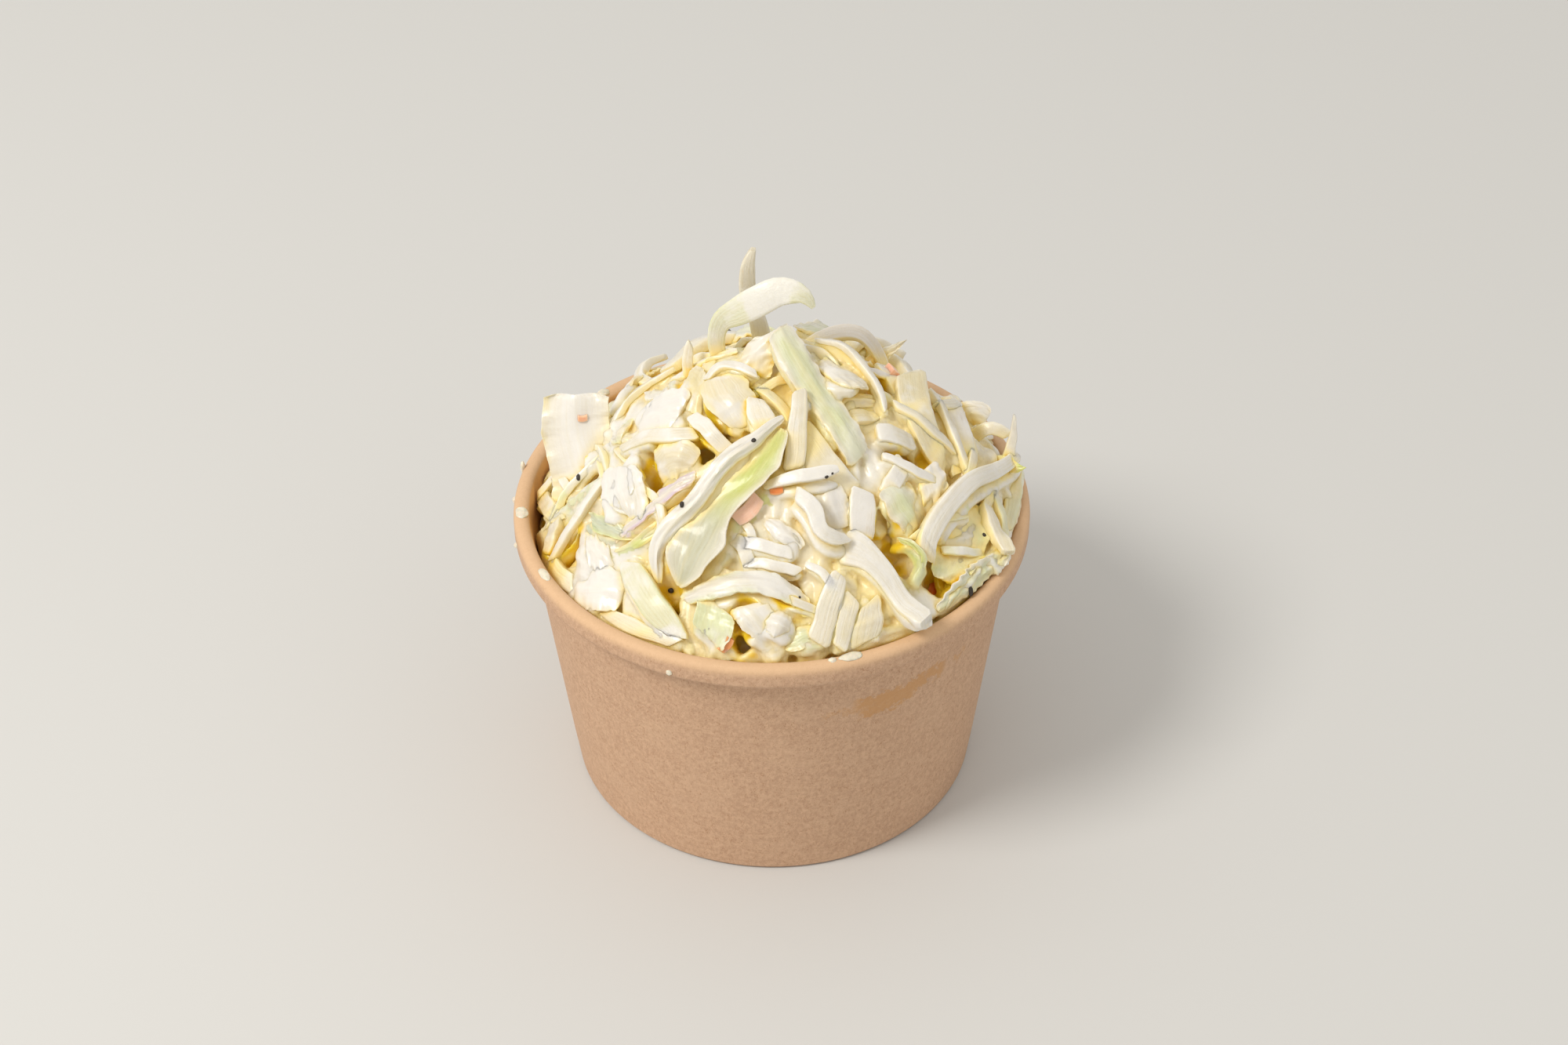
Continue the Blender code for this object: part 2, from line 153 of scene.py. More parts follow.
# Bold shreds that lie on the mound.
LAID = [
    cut("plate", "green white", 6.6, 1.7, [(1.4, 4.3, 7), (4.2, -0.4, 5), (8.8, -6.5, 3.5), (14, -13.1, 3),
         (16.2, -15.3, 2)], bare=0.5, lean=-6, shape=(0.75, 0.95, 1, 1, 0.95, 0.9, 0.95, 0.9)),
    cut("board", "cream white", 6.2, 2, [(4.5, -11.1, 1.5), (10.1, -18.3, 2.2), (15, -21.6, 1)],
        shape=(0.8, 1, 1, 0.9)),
    cut("board", "cream white", 3.7, 2.2, [(5.4, -7.4, 5.5), (4.8, -13.4, 4.5), (3.9, -19.7, 3)],
        shape=(0.7, 0.9, 1, 1)),
    cut("plate", "white cream", 10.5, 1.2, [(8.8, -1.6, 3), (12.8, -0.8, 3.5), (17.4, 0.5, 3)], lean=-25,
        shape=(0.6, 1, 0.95, 0.5)),
    cut("board", "yellow cream", 6.2, 1.6, [(25.9, 8.9, 6), (26.7, -0.5, 4.5), (29.2, -5.6, 3),
         (32.4, -8.9, 1)], lean=18, shape=(0.95, 1, 1, 0.95, 0.8, 0.5)),
    cut("board", "lilac white", 4.8, 1.8, [(34.2, 13, 5), (34.4, 5.7, 3.5), (35.7, -0.8, 2.5), (34.5, -8.8, 1)],
        lean=15, shape=(0.4, 0.9, 1, 1, 0.9, 0.7)),
    cut("board", "dressing white", 3.4, 2.3, [(47.3, 7.5, 4), (41.5, -4.7, 5.5), (36.2, -12.9, 6),
         (31, -21.1, 5.5), (27.8, -26.2, 3.5), (27.9, -27.9, 1)], free=True,
        shape=(0.7, 0.85, 0.9, 1, 1.05, 1.1, 1)),
    cut("board", "white cream", 2.8, 2, [(39.3, -12.4, 3.5), (41.1, -17.7, 4.5), (43.8, -22, 4)], free=True,
        shape=(0.75, 0.95, 1, 1, 0.8)),
    cut("rib", "cream green", 3, 1.4, [(47.1, 6.6, 1), (45.6, -3.5, 1.5), (43, -13.6, 1)], lean=20),
    cut("rib", "white cream", 2.4, 1.4, [(41.6, -0.9, 2), (40.4, -9.1, 3), (38.6, -14.4, 2)]),
    cut("board", "white dressing", 4.1, 2.1, [(12.8, -28.5, 1), (16.4, -30.4, 2.6), (20.2, -33.8, 4),
         (23.8, -37.8, 5.4), (27.5, -42.3, 6.2)], lean=6, shape=(1.7, 1.5, 1.1, 0.92, 0.9, 0.95, 1, 1.05)),
    cut("board", "lilac white", 4.8, 1.4, [(16.4, -20.5, 3), (16.3, -24.7, 3), (16, -27.5, 1.2)],
        shape=(0.9, 1, 1, 0.95, 0.9)),
    cut("board", "white", 3, 1.6, [(4.1, -23.9, 5), (7.2, -27.2, 6.5), (8.9, -30.3, 6.5), (11.2, -30.7, 5.5),
         (14, -29.2, 4)], free=True, shape=(0.8, 1, 1, 0.95, 0.9, 0.6)),
    cut("board", "white", 2.2, 1.6, [(-1.2, -21.9, 3), (2.3, -22.3, 5), (7.2, -22.3, 6.5), (12.1, -20.8, 6.5)],
        free=True, shape=(0.7, 0.9, 1, 1.1, 1.15, 0.6)),
    cut("plate", "lilac cream", 6.5, 1.2, [(9.6, -21.6, 3), (11, -24.2, 2.5), (12.4, -26.7, 1.5)],
        shape=(0.8, 1, 1, 0.8)),
    cut("leaf", "green leaf", 11, 0.8, [(34.3, -12.3, 1.5), (34.7, -17.7, 1), (32.9, -24.2, 1),
         (30, -29.2, 0.5)], bare=0.6, curl=1.2, ripple=0.9, shape=(0.6, 0.9, 1, 1, 0.8, 0.5)),
    cut("leaf", "green white", 5.2, 0.8, [(42.8, -20, 3), (37.9, -25.6, 2), (33.7, -30.5, 2), (29.8, -34.4, 1)],
        lean=-38, ripple=0.8),
    cut("rib", "white green", 1.7, 1.1, [(30.6, -25.4, 2.5), (34.4, -24.3, 3.5), (38.4, -21.6, 2)], free=True),
    cut("leaf", "leaf green", 2.2, 0.7, [(22.4, -26.2, 2), (25.4, -27.3, 3.5), (26.9, -29.1, 3.5),
         (25.4, -31.8, 2)], bare=0.8, lean=60),
    cut("board", "cream white", 4.2, 2.4, [(12.1, -34.2, 3.5), (10.5, -38.1, 3.2), (8.2, -43.2, 1)],
        shape=(0.7, 0.95, 1, 1)),
    cut("board", "white cream", 3.2, 2.2, [(14.5, -36.3, 2.5), (13.1, -40.3, 2.6), (11.7, -43.6, 0.6)]),
    cut("board", "cream white", 5.4, 2.2, [(17.8, -35.7, 2.5), (16.9, -39.4, 2.2), (16, -42.9, 0.4)],
        shape=(0.55, 0.8, 1, 1, 0.95)),
    cut("leaf", "silver white", 12, 1, [(-16.8, -33, 2), (-13.2, -29.2, 3.2), (-10.7, -25.9, 3.4),
         (-7.8, -23.3, 3.8), (-4, -20.9, 4.2), (0.2, -16.8, 4.6), (2, -14, 4.8)], free=True, bare=0.9,
        tip="leaf", lean=-13, slant=0, curl=2.2, ripple=0.6, ragged=0.04,
        shape=(0.12, 0.62, 0.88, 1, 0.98, 0.86, 0.68, 0.62, 0.68, 0.74, 0.7, 0.5, 0.2)),
    cut("leaf", "dressing white", 3.4, 1.4, [(-20.6, -31.2, 1.6), (-20.6, -28, 4.2), (-18.2, -25.6, 5.4),
         (-14.4, -23.8, 6), (-11.1, -21.9, 6.4), (-6.8, -19.1, 6.8), (-2.8, -17, 6.8), (0.1, -14.5, 6.4),
         (2.4, -12.9, 5.8)], free=True, lean=35, slant=0, ripple=0.3, wobble=0.5,
        shape=(0.35, 0.85, 1, 1.05, 1, 0.9, 1, 0.9, 0.75, 0.3)),
    cut("leaf", "lilac violet", 3.4, 1, [(-13.2, -18.8, 4.5), (-18.1, -19.5, 4.2), (-23.2, -20.6, 3.4),
         (-29.6, -21, 1)], bare=0.8, lean=15, shape=(0.7, 0.9, 1, 0.9, 0.6)),
    cut("leaf", "leaf yellow", 3.6, 0.8, [(-15.9, -21.4, 1.5), (-19.7, -23.1, 2), (-24.5, -24.6, 2),
         (-30.8, -22.4, 0.5)], bare=0.7, lean=-30, shape=(0.7, 1, 1, 0.8, 0.3)),
    cut("leaf", "sage leaf", 3.4, 1, [(-33.6, -14.5, 3), (-30, -19, 3), (-24.6, -22.2, 1.5)], bare=0.7, curl=1),
    cut("plate", "white", 9.5, 1.2, [(-28, -8.3, 4), (-27.2, -14.2, 4.5), (-25.8, -19.2, 4), (-25.4, -20.6, 2)],
        ripple=0.3, folds=(2.6, 0.25), shape=(0.8, 1, 1, 0.9, 0.45)),
    cut("board", "white cream", 2.8, 1.8, [(-27.8, -5.1, 2.5), (-23.2, -7.4, 4), (-17.9, -10.1, 4.5),
         (-12.9, -10.7, 3)], shape=(0.7, 1, 1, 0.9)),
    cut("board", "white", 3, 1.7, [(-14.3, -7.5, 4), (-11.1, -12.2, 4.5), (-7.3, -15.3, 2.5)],
        shape=(0.8, 1, 1, 0.9)),
    cut("plate", "cream yellow", 8.5, 1.2, [(-20.9, -12.5, 1), (-17.3, -13.4, 3), (-13, -14.9, 2)], lean=18,
        shape=(0.7, 1, 0.9, 0.5)),
    cut("board", "cream green", 4.8, 1.7, [(-25.9, -25.8, 2.5), (-23.5, -32, 3.5), (-20, -37.2, 3.5),
         (-15.8, -41.6, 2.5)], shape=(0.8, 1, 1, 1, 0.9, 0.6)),
    cut("board", "white", 3, 1.8, [(-30.9, -30.6, 1), (-26.1, -35.4, 2), (-20.9, -39.3, 2.5),
         (-16.1, -41.8, 2.5)], shape=(0.6, 0.9, 1, 1, 0.8)),
    cut("plate", "white", 8.5, 1.6, [(-36, -24.4, 1), (-31.3, -28.1, 2.5), (-26.9, -30.8, 2)], lean=-5,
        shape=(0.7, 1, 1, 0.8)),
    cut("plate", "green", 7.5, 1, [(-9, -36.7, 3), (-10.1, -39.8, 3.2), (-11.2, -42.6, 1.5)], curl=1,
        shape=(0.9, 1, 1, 0.85)),
    cut("leaf", "white green", 4.4, 1.2, [(-16.1, -35.5, 2), (-11.1, -36.3, 4.5), (-5.5, -36.8, 5.5),
         (0.1, -37.4, 5), (4.2, -38, 3), (7, -39, 1.5)], free=True, lean=-20,
        shape=(0.5, 0.9, 1, 1, 1, 0.9, 0.7)),
    cut("plate", "white", 6.5, 1, [(-5.5, -38.6, 4), (-3.2, -41.2, 4), (0, -42.9, 2)], ragged=0.14,
        shape=(0.8, 1, 0.9, 0.5)),
    cut("plate", "white", 5, 2.4, [(-1.4, -40.9, 2.5), (1, -41.8, 3.5), (3.2, -42, 2)], shape=(0.7, 1, 0.8)),
    cut("leaf", "green yellow", 4, 0.9, [(2.1, -43.1, 0.5), (6.3, -42.6, 2), (10.2, -42.4, 2)],
        shape=(0.6, 1, 0.9, 0.4)),
    cut("plate", "lilac white", 8.2, 1.3, [(-24.9, -1.7, 2), (-20.4, -3.1, 3.5), (-14.8, -5.2, 3.5)], lean=8,
        shape=(0.75, 1, 1, 0.85)),
    cut("plate", "cream green", 5, 1, [(-29.9, 0.9, 2), (-27.5, -0.8, 3), (-25.6, -1.1, 2)],
        shape=(0.2, 0.8, 1)),
    cut("plate", "yellow cream", 7, 1.3, [(-16.1, 3.9, 3), (-13.4, -2, 3), (-11.2, -5.4, 1.5)],
        shape=(0.8, 1, 1, 0.6)),
    cut("plate", "cream yellow", 9, 1.3, [(-9.7, -2.3, 5), (-7.3, -7.4, 4.5), (-4, -11.5, 2.5)], lean=-10,
        shape=(0.8, 1, 0.9, 0.55)),
    cut("board", "cream white", 4.6, 1.8, [(-3, -7.2, 4), (-1.2, -12.3, 4), (0.2, -15.8, 2.5)],
        shape=(0.6, 1, 1, 0.7)),
    cut("board", "white dressing", 2.6, 1.5, [(-8, -27, 1), (-5, -30, 2), (-3, -34.5, 1)]),
    cut("rib", "cream white", 1.7, 1.3, [(-5, -25.5, 1.5), (-3.5, -28, 2.2), (-3.4, -31, 1)]),
    cut("leaf", "white", 3, 0.9, [(-11, -33, 1.5), (-8, -34, 2.6), (-3.5, -35, 1.8)]),
    cut("board", "dressing", 2.4, 1.5, [(-6, -29, 1.5), (-1.5, -30.2, 2.6), (4, -31.5, 2.2)]),
    cut("board", "dressing", 2, 1.4, [(-5, -31.8, 1.5), (0, -33, 2.4), (5.5, -33.6, 1.6)]),
    cut("leaf", "dressing white", 3.4, 1, [(-1, -26.5, 2.2), (2, -28.6, 3), (5.5, -30.5, 2.2)]),
    cut("plate", "green cream", 8, 1.2, [(21.4, -18.7, 3), (23.8, -21.1, 3), (26.4, -22.9, 1.5)], bare=0.4,
        lean=-12, shape=(0.8, 1, 1, 0.7)),
    cut("board", "cream white", 3.6, 1.8, [(18.9, -10, 3), (21.6, -9.9, 3.5), (26.1, -8.3, 2.5)]),
    cut("plate", "white lilac", 6, 1.3, [(28.2, -11.3, 3), (29.5, -15, 3), (30.3, -18, 1.5)], lean=10,
        shape=(0.8, 1, 1, 0.8)),
    cut("board", "white cream", 3.4, 1.6, [(23.8, -12.5, 2.5), (22.6, -16.9, 3), (20.4, -20.5, 1.5)]),
    cut("plate", "cream white", 6.5, 1.4, [(-35, -17.1, 2), (-31.4, -22, 2.5), (-27.4, -25.7, 1.5)],
        shape=(0.7, 1, 1, 0.6)),
    cut("board", "cream yellow", 3.2, 1.8, [(-44.3, 7.3, 0.5), (-41.8, -2.8, 1), (-38.8, -9.1, 0.5)]),
    cut("board", "white cream", 3, 1.8, [(-40.1, -7.6, 1), (-40.8, -11.8, 1.5), (-42.1, -13.4, 0.5)]),
    cut("board", "green yellow", 3.6, 1.5, [(-41.7, -14.4, 0.5), (-39, -19.9, 1), (-35.5, -24.3, 0.5)]),
    cut("rib", "white cream", 1.8, 1.3, [(38, 4, 2.5), (37, -6, 3.8), (35.5, -14, 2.5)]),
    cut("rib", "cream white", 1.7, 1.3, [(30, 10, 4), (33, 0, 4.4), (37, -9, 3)]),
    cut("rib", "white cream", 2, 1.4, [(22, -2, 3), (28, -4.5, 4.4), (34, -5, 3)]),
    cut("rib", "cream green", 1.7, 1.2, [(40, -5, 3.2), (42.5, -13, 3.8), (43, -20, 2.4)]),
    cut("rib", "white", 1.8, 1.3, [(20, -14, 3), (25, -15, 4.2), (31, -14, 3)]),
    cut("rib", "white green", 1.6, 1.2, [(25, -26, 2.5), (30, -22, 4.2), (36, -17, 3.4)]),
    cut("rib", "white cream", 1.8, 1.3, [(-41, -16, 1), (-36, -13, 3.2), (-30, -9, 3.4)]),
    cut("rib", "cream white", 1.6, 1.2, [(-24, -15, 3), (-20, -21, 3.8), (-19, -28, 2.5)]),
    cut("rib", "white", 1.7, 1.3, [(-12, -2, 4.5), (-8, -1, 5.6), (-2, -4, 4.6)]),
    cut("rib", "white cream", 1.6, 1.2, [(-2, -36, 3), (4, -39, 3.8), (9, -39.5, 2.6)]),
    cut("rib", "cream white", 1.6, 1.2, [(6, -33, 2.6), (10, -35.5, 3.8), (13, -40, 2.2)]),
    cut("rib", "white", 1.5, 1.1, [(8, 9, 3), (14, 6, 4.4), (19, 0, 4.2), (21, -5, 3)]),
    cut("rib", "cream", 1.5, 1.1, [(-30, 4, 2), (-26, 8, 3.6), (-18, 10, 3.2)]),
]

# Bold shreds that lie on the back of the mound.
BEHIND = [
    cut("board", "white cream", 4.6, 2, [(-20, 12, 3.2), (-12, 20, 5.6), (-3, 23, 3.4)], lean=12,
        shape=(0.7, 1, 1, 0.8)),
    cut("plate", "pale white", 7.5, 1.4, [(6, 17, 4), (12, 24, 5), (16, 32, 3)], bare=0.3, lean=24,
        shape=(0.7, 1, 0.95, 0.6)),
    cut("rib", "white cream", 3.2, 2.2, [(27, 14, 3), (23, 22, 5.4), (14, 27, 3.4)]),
    cut("plate", "white cream", 9, 1.3, [(-31, 10, 3), (-28, 18, 4.6), (-22, 26, 3)], lean=-22,
        shape=(0.6, 1, 0.9, 0.7)),
    cut("board", "cream white", 3.8, 2, [(1, 31, 2.6), (-8, 34, 4.8), (-17, 33, 2.6)], shape=(0.8, 1, 1, 0.6)),
    cut("leaf", "green white", 6, 1.1, [(2, 15, 3.2), (-4, 20, 5), (-12, 28, 3.8)], bare=0.5, lean=-20,
        shape=(0.6, 0.9, 1, 0.8, 0.5)),
    cut("rib", "white cream", 2.6, 2, [(31, 4, 3.4), (35, 12, 4.6), (33, 21, 2)]),
    cut("board", "white green", 4.2, 1.8, [(7, 36, 2), (17, 34, 4.8), (26, 27, 3.2)], lean=-14,
        shape=(0.9, 1, 1, 0.7)),
    cut("rib", "cream white", 2.8, 1.8, [(14, 20, 1.6), (17, 24, 6), (21, 27, 8), (26, 28, 7.6)], free=True,
        shape=(1, 1, 0.9, 0.7)),
    cut("rib", "white", 2.4, 1.6, [(-22, 17, 1.6), (-25, 21, 6), (-24, 26, 8.4), (-20, 30, 7.6)], free=True,
        shape=(1, 1, 0.9, 0.6)),
    cut("board", "cream white", 3.6, 1.8, [(-6, 40, 1.6), (-16, 38, 3.4), (-26, 32, 2.4)], lean=-12),
]

# Bold shreds that stand clear of the mound.
STANDING = [
    cut("board", "white green", 5.9, 1.8, [(-9, 8, 83), (-10, 8, 90), (-9, 8, 95), (-6, 7, 98), (-2, 6, 101),
         (2, 6, 103), (6, 5, 103), (8, 4, 101)], face=FORWARD, slant=0, crown=0.5, ragged=0.03,
        shape=(0.5, 0.5, 0.55, 0.6, 0.75, 0.95, 1, 0.9, 0.65, 0.12)),
    cut("rib", "white cream", 3.5, 2.2, [(-1, 11, 84), (-2, 12, 91), (-4, 14, 97), (-4, 14, 102),
         (-3, 14, 107)], face=FORWARD, slant=0, shape=(1, 1, 1, 0.95, 0.85, 0.75, 0.3)),
    cut("rib", "cream", 2.2, 1.4, [(-15, 6, 83), (-15.5, 8, 87), (-14.5, 9, 90)], face=FORWARD,
        shape=(1, 1, 0.9, 0.6)),
    cut("plate", "white cream", 7, 1.4, [(2, 7, 96), (0, 4, 94), (-2, 2, 91), (-4, -2, 85)], face=(-1, -4, 4),
        shape=(0.45, 0.9, 1, 0.9, 0.8)),
    cut("rib", "white", 3.2, 1.6, [(-1, 6, 94), (-3, 4, 91), (-4, 2, 88)], face=FORWARD),
    cut("board", "white lilac", 2.8, 2, [(4, 12, 80), (7, 15, 84), (11, 16.5, 85.6), (15, 17, 86),
         (18, 17, 84.6), (21, 17, 80), (22.5, 16, 75)], face=(0, -2, 3), shape=(0.8, 1, 1, 1, 0.9, 0.75, 0.6)),
    cut("leaf", "cream white", 3.4, 1, [(17, 16, 76), (21, 18, 80), (26, 19, 83)], face=FORWARD,
        shape=(0.8, 1, 0.8, 0.5, 0.15)),
    cut("plate", "white", 5, 1.2, [(35, 14, 66), (38, 14, 69), (42, 13, 69)], face=FORWARD),
    cut("rib", "white", 2.6, 1.8, [(37, 10, 64), (41, 9, 69), (46, 8, 68)], face=FORWARD),
    cut("rib", "white", 2.4, 1.6, [(44, 3, 62), (45, 5, 66), (46, 6, 70), (46, 7, 74)], face=FORWARD,
        shape=(0.9, 1, 0.8, 0.5, 0.25)),
    cut("leaf", "leaf", 3.6, 0.7, [(42, 4, 64), (45, 2, 66), (48, 0, 67)], face=FORWARD, bare=0.9,
        shape=(0.6, 1, 0.8, 0.2)),
    cut("plate", "dressing yellow", 14, 1.4, [(-33, -5, 57), (-34.5, 1, 65), (-36.5, 6, 72), (-37, 9, 78)],
        face=(-1, -4, 2), bare=0.3, slant=0, ripple=0.5, folds=(1.5, 0.5), ragged=0.04,
        shape=(1.35, 1.2, 1.02, 0.96, 0.92)),
]

# Places where the shreds part and the deep slaw shows, its amber partly pooled dressing and partly painted shade:
# x, y and radius in millimetres.
HOLLOWS = [
    (-5, -7, 2.6), (-11, -11, 2.6), (-20, -12, 2.4), (-37, 1, 1.2), (-44, -1, 1.8), (-39, -13, 2.4), (-19, -33, 2.2),
    (-5, -41, 2.2), (20, 6, 2.2), (22, -26, 1.8), (29, -10, 2.2), (3, -37, 2.2), (31, -28, 2.6), (18, -27, 1.6),
    (22, -9, 1.6), (-14, 5, 1.8), (-2, 2, 1.4), (12, 33, 1.8), (-22, 24, 1.8), (30, 24, 1.7), (-2, 38, 1.5),
    (-38, 16, 1.4),
]

# Places where the dressing lies thickest: x, y and radius in millimetres.
DRESSED = [
    (1, -31, 9), (11, -24, 7), (-33, -27, 8), (-29, -12, 6), (-20, -3, 6), (20, -15, 6), (-36, 4, 8), (0, 6, 5),
    (-8, 26, 9), (25, 12, 5),
]

CARROTS = [
    bit((29, -32, 63), (4.6, 2.2, 1.4), tint=(0.86, 0.20, 0.02), head=70),
    bit((1, -22, 79), (2.4, 1.3, 1), tint=(0.84, 0.27, 0.06), head=10),
    bit((-4, -25, 77), (6, 3, 1), tint=(0.9, 0.6, 0.46), head=60),
    bit((-8, -42, 60), (3, 1.6, 1), tint=(0.84, 0.36, 0.14), head=80),
    bit((-35, 0, 79), (1.8, 1.2, 0.8), tint=(0.88, 0.50, 0.34), head=0),
    bit((23, 9), (3, 1.8, 1.2), tint=(0.86, 0.46, 0.32), head=100),
    bit((-14, 26), (7, 1.6, 1.2), tint=(0.86, 0.30, 0.06), head=20),
    bit((20, 30), (5, 1.8, 1.2), tint=(0.86, 0.26, 0.04), head=130),
]
PEPPERS = [
    bit((-3, -16, 86), (1, 0.8, 0.6)), bit((-16, -23, 77), (1.3, 0.8, 0.7)), bit((-18, -34, 66), (1.2, 1.1, 0.8)),
    bit((10, -23, 83), (0.8, 0.6, 0.5)), bit((11, -22, 83), (0.5, 0.4, 0.4)), bit((-36, -5, 69), (0.8, 1.3, 0.6)),
    bit((39, -19, 66), (0.9, 0.6, 0.5)), bit((36, -31, 63), (2.4, 0.9, 0.8)), bit((5, -36, 66), (0.6, 0.5, 0.4)),
    bit((-8, 24), (1, 0.8, 0.6)), bit((24, 26), (0.9, 0.9, 0.6)), bit((-28, 20), (1.1, 0.8, 0.6)),
]

# Spots of dressing left on the rim: bearing in degrees, height and size in millimetres.
RIM_DROPS = [
    (185, 60, (1.6, 1.2, 0.5)), (177, 57.6, (0.8, 0.8, 0.7)), (192, 57, (0.7, 0.6, 0.5)),
    (168, 59.4, (0.6, 1.6, 0.5)), (135, 60, (1.4, 1.0, 0.5)), (248, 56.6, (0.6, 0.6, 0.5)),
    (287, 60, (2.2, 1.0, 0.5)), (283, 60, (0.8, 0.6, 0.4)), (208, 60, (1.8, 0.8, 0.4)),
    (40, 60, (1.6, 0.9, 0.5)), (70, 58, (0.7, 0.8, 0.5)),
]

# Oily marks on the wall under the rim: bearings in degrees where each starts and ends, the heights in millimetres
# of its lower and upper edge where it starts, and how much both rise along it.
STAINS = [
    (-72, -44, 43, 46.8, 0.5), (-70, -54, 40.6, 43.6, 0.8), (-79, -70, 43.2, 44.4, 0.4), (-42, -37, 44, 45.6, 1),
]


def smooth_step(low, high, value):
    t = np.clip((value - low) / (high - low), 0, 1)
    return t * t * (3 - 2 * t)


def mound_height(x, y):
    """The height of the smooth mound that the shreds follow. Takes numbers or arrays."""
    inside = np.maximum(0, 1 - (x * x + y * y) / MOUND_RADIUS**2)
    spread = np.hypot(x, y - PEAK_BACK * inside) / MOUND_RADIUS
    edge = EDGE_HEIGHT + (RIGHT_RISE * x - FRONT_RISE * y) / MOUND_RADIUS
    dip = BACK_DIP * smooth_step(5 * MM, 20 * MM, y) * smooth_step(0, 0.45, inside)
    return edge + MOUND_RISE * np.maximum(0, 1 - spread**MOUND_POWER) - dip


def mound_normal(x, y):
    step = 1 * MM
    slope_x = (mound_height(x + step, y) - mound_height(x - step, y)) / (2 * step)
    slope_y = (mound_height(x, y + step) - mound_height(x, y - step)) / (2 * step)
    return Vector((-slope_x, -slope_y, 1)).normalized()


def wall_radius(height):
    """The radius of the middle of the wall's board at a height."""
    slope = (NECK_RADIUS - FOOT_RADIUS) / (TUB_TOP - RIM_DEPTH)
    return FOOT_RADIUS - BOARD / 2 + slope * height


# ---------------------------------------------------------------- small tools


def deselect():
    if bpy.context.object and bpy.context.object.mode == "EDIT":
        bpy.ops.object.mode_set(mode="OBJECT")
    bpy.ops.object.select_all(action="DESELECT")


def activate(thing):
    deselect()
    thing.select_set(True)
    bpy.context.view_layer.objects.active = thing


def named(name):
    """The object that was just added, with its name."""
    thing = bpy.context.object
    thing.name = name
    thing.data.name = name
    return thing


def apply_modifier(thing, kind, **settings):
    modifier = thing.modifiers.new(kind.title(), kind)
    for key, value in settings.items():
        setattr(modifier, key, value)
    activate(thing)
    bpy.ops.object.modifier_apply(modifier=modifier.name)


def settle(thing):
    """Puts the object's place, turn and scale into its mesh."""
    activate(thing)
    bpy.ops.object.transform_apply(location=True, rotation=True, scale=True)


def select_edges(thing, wanted):
    """Selects the edges, in edit mode, whose two end points satisfy a test."""
    bpy.ops.mesh.select_all(action="DESELECT")
    bpy.ops.mesh.select_mode(type="EDGE")
    form = bmesh.from_edit_mesh(thing.data)
    for edge in form.edges:
        edge.select_set(wanted(edge.verts[0].co, edge.verts[1].co))
    bmesh.update_edit_mesh(thing.data)


def select_faces(thing, wanted):
    bpy.ops.mesh.select_all(action="DESELECT")
    bpy.ops.mesh.select_mode(type="FACE")
    form = bmesh.from_edit_mesh(thing.data)
    for face in form.faces:
        face.select_set(wanted(face.calc_center_median(), face.normal))
    bmesh.update_edit_mesh(thing.data)


def points_of(mesh):
    points = np.empty(len(mesh.vertices) * 3, np.float32)
    mesh.vertices.foreach_get("co", points)
    return points.reshape(-1, 3).astype(float)


def set_points(mesh, points):
    mesh.vertices.foreach_set("co", points.astype(np.float32).ravel())
    mesh.update()


def set_values(mesh, name, kind, values):
    """Stores one value a point, which a material reads by name."""
    field = {"FLOAT": "value", "FLOAT_VECTOR": "vector", "FLOAT_COLOR": "color"}[kind]
    attribute = mesh.attributes.new(name, kind, "POINT")
    attribute.data.foreach_set(field, np.asarray(values, np.float32).ravel())


def finish_piece(thing, material):
    thing.data.materials.clear()
    thing.data.materials.append(material)
    activate(thing)
    bpy.ops.object.shade_smooth()
    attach(thing, "root")
    return thing


# ---------------------------------------------------------------- the tub


def arc(x, z, radius, start, end):
    angles = [math.radians(start + (end - start) * i / ROUND_STEPS) for i in range(ROUND_STEPS + 1)]
    return [(x + radius * math.cos(angle), z + radius * math.sin(angle)) for angle in angles]


def wall_profile():
    """The middle of the board: round its rolled rim, down the side and up inside the fold at its foot."""
    half = BOARD / 2
    neck = TUB_TOP - RIM_DEPTH + half
    top = TUB_TOP - half
    out = RIM_RADIUS - half
    roll = [(wall_radius(neck) + half + RIM_GAP, neck)]
    roll += arc(out - RIM_CORNER, neck + RIM_CORNER, RIM_CORNER, -90, 0)
    roll += arc(out - RIM_CORNER, top - RIM_CORNER, RIM_CORNER, 0, 90)
    roll += arc(wall_radius(top) + RIM_CORNER, top - RIM_CORNER, RIM_CORNER, 90, 180)
    foot = wall_radius(0)
    side = [(wall_radius(height * MM), height * MM) for height in (56, 40, 24, 8)]
    fold = arc(foot - FOLD_CORNER, half + FOLD_CORNER, FOLD_CORNER, 0, -90)
    fold += arc(foot - FOLD_WIDTH + FOLD_CORNER, half + FOLD_CORNER, FOLD_CORNER, -90, -180)
    return roll + side + fold + [(wall_radius(FOLD_DEPTH) - FOLD_WIDTH, FOLD_DEPTH)]


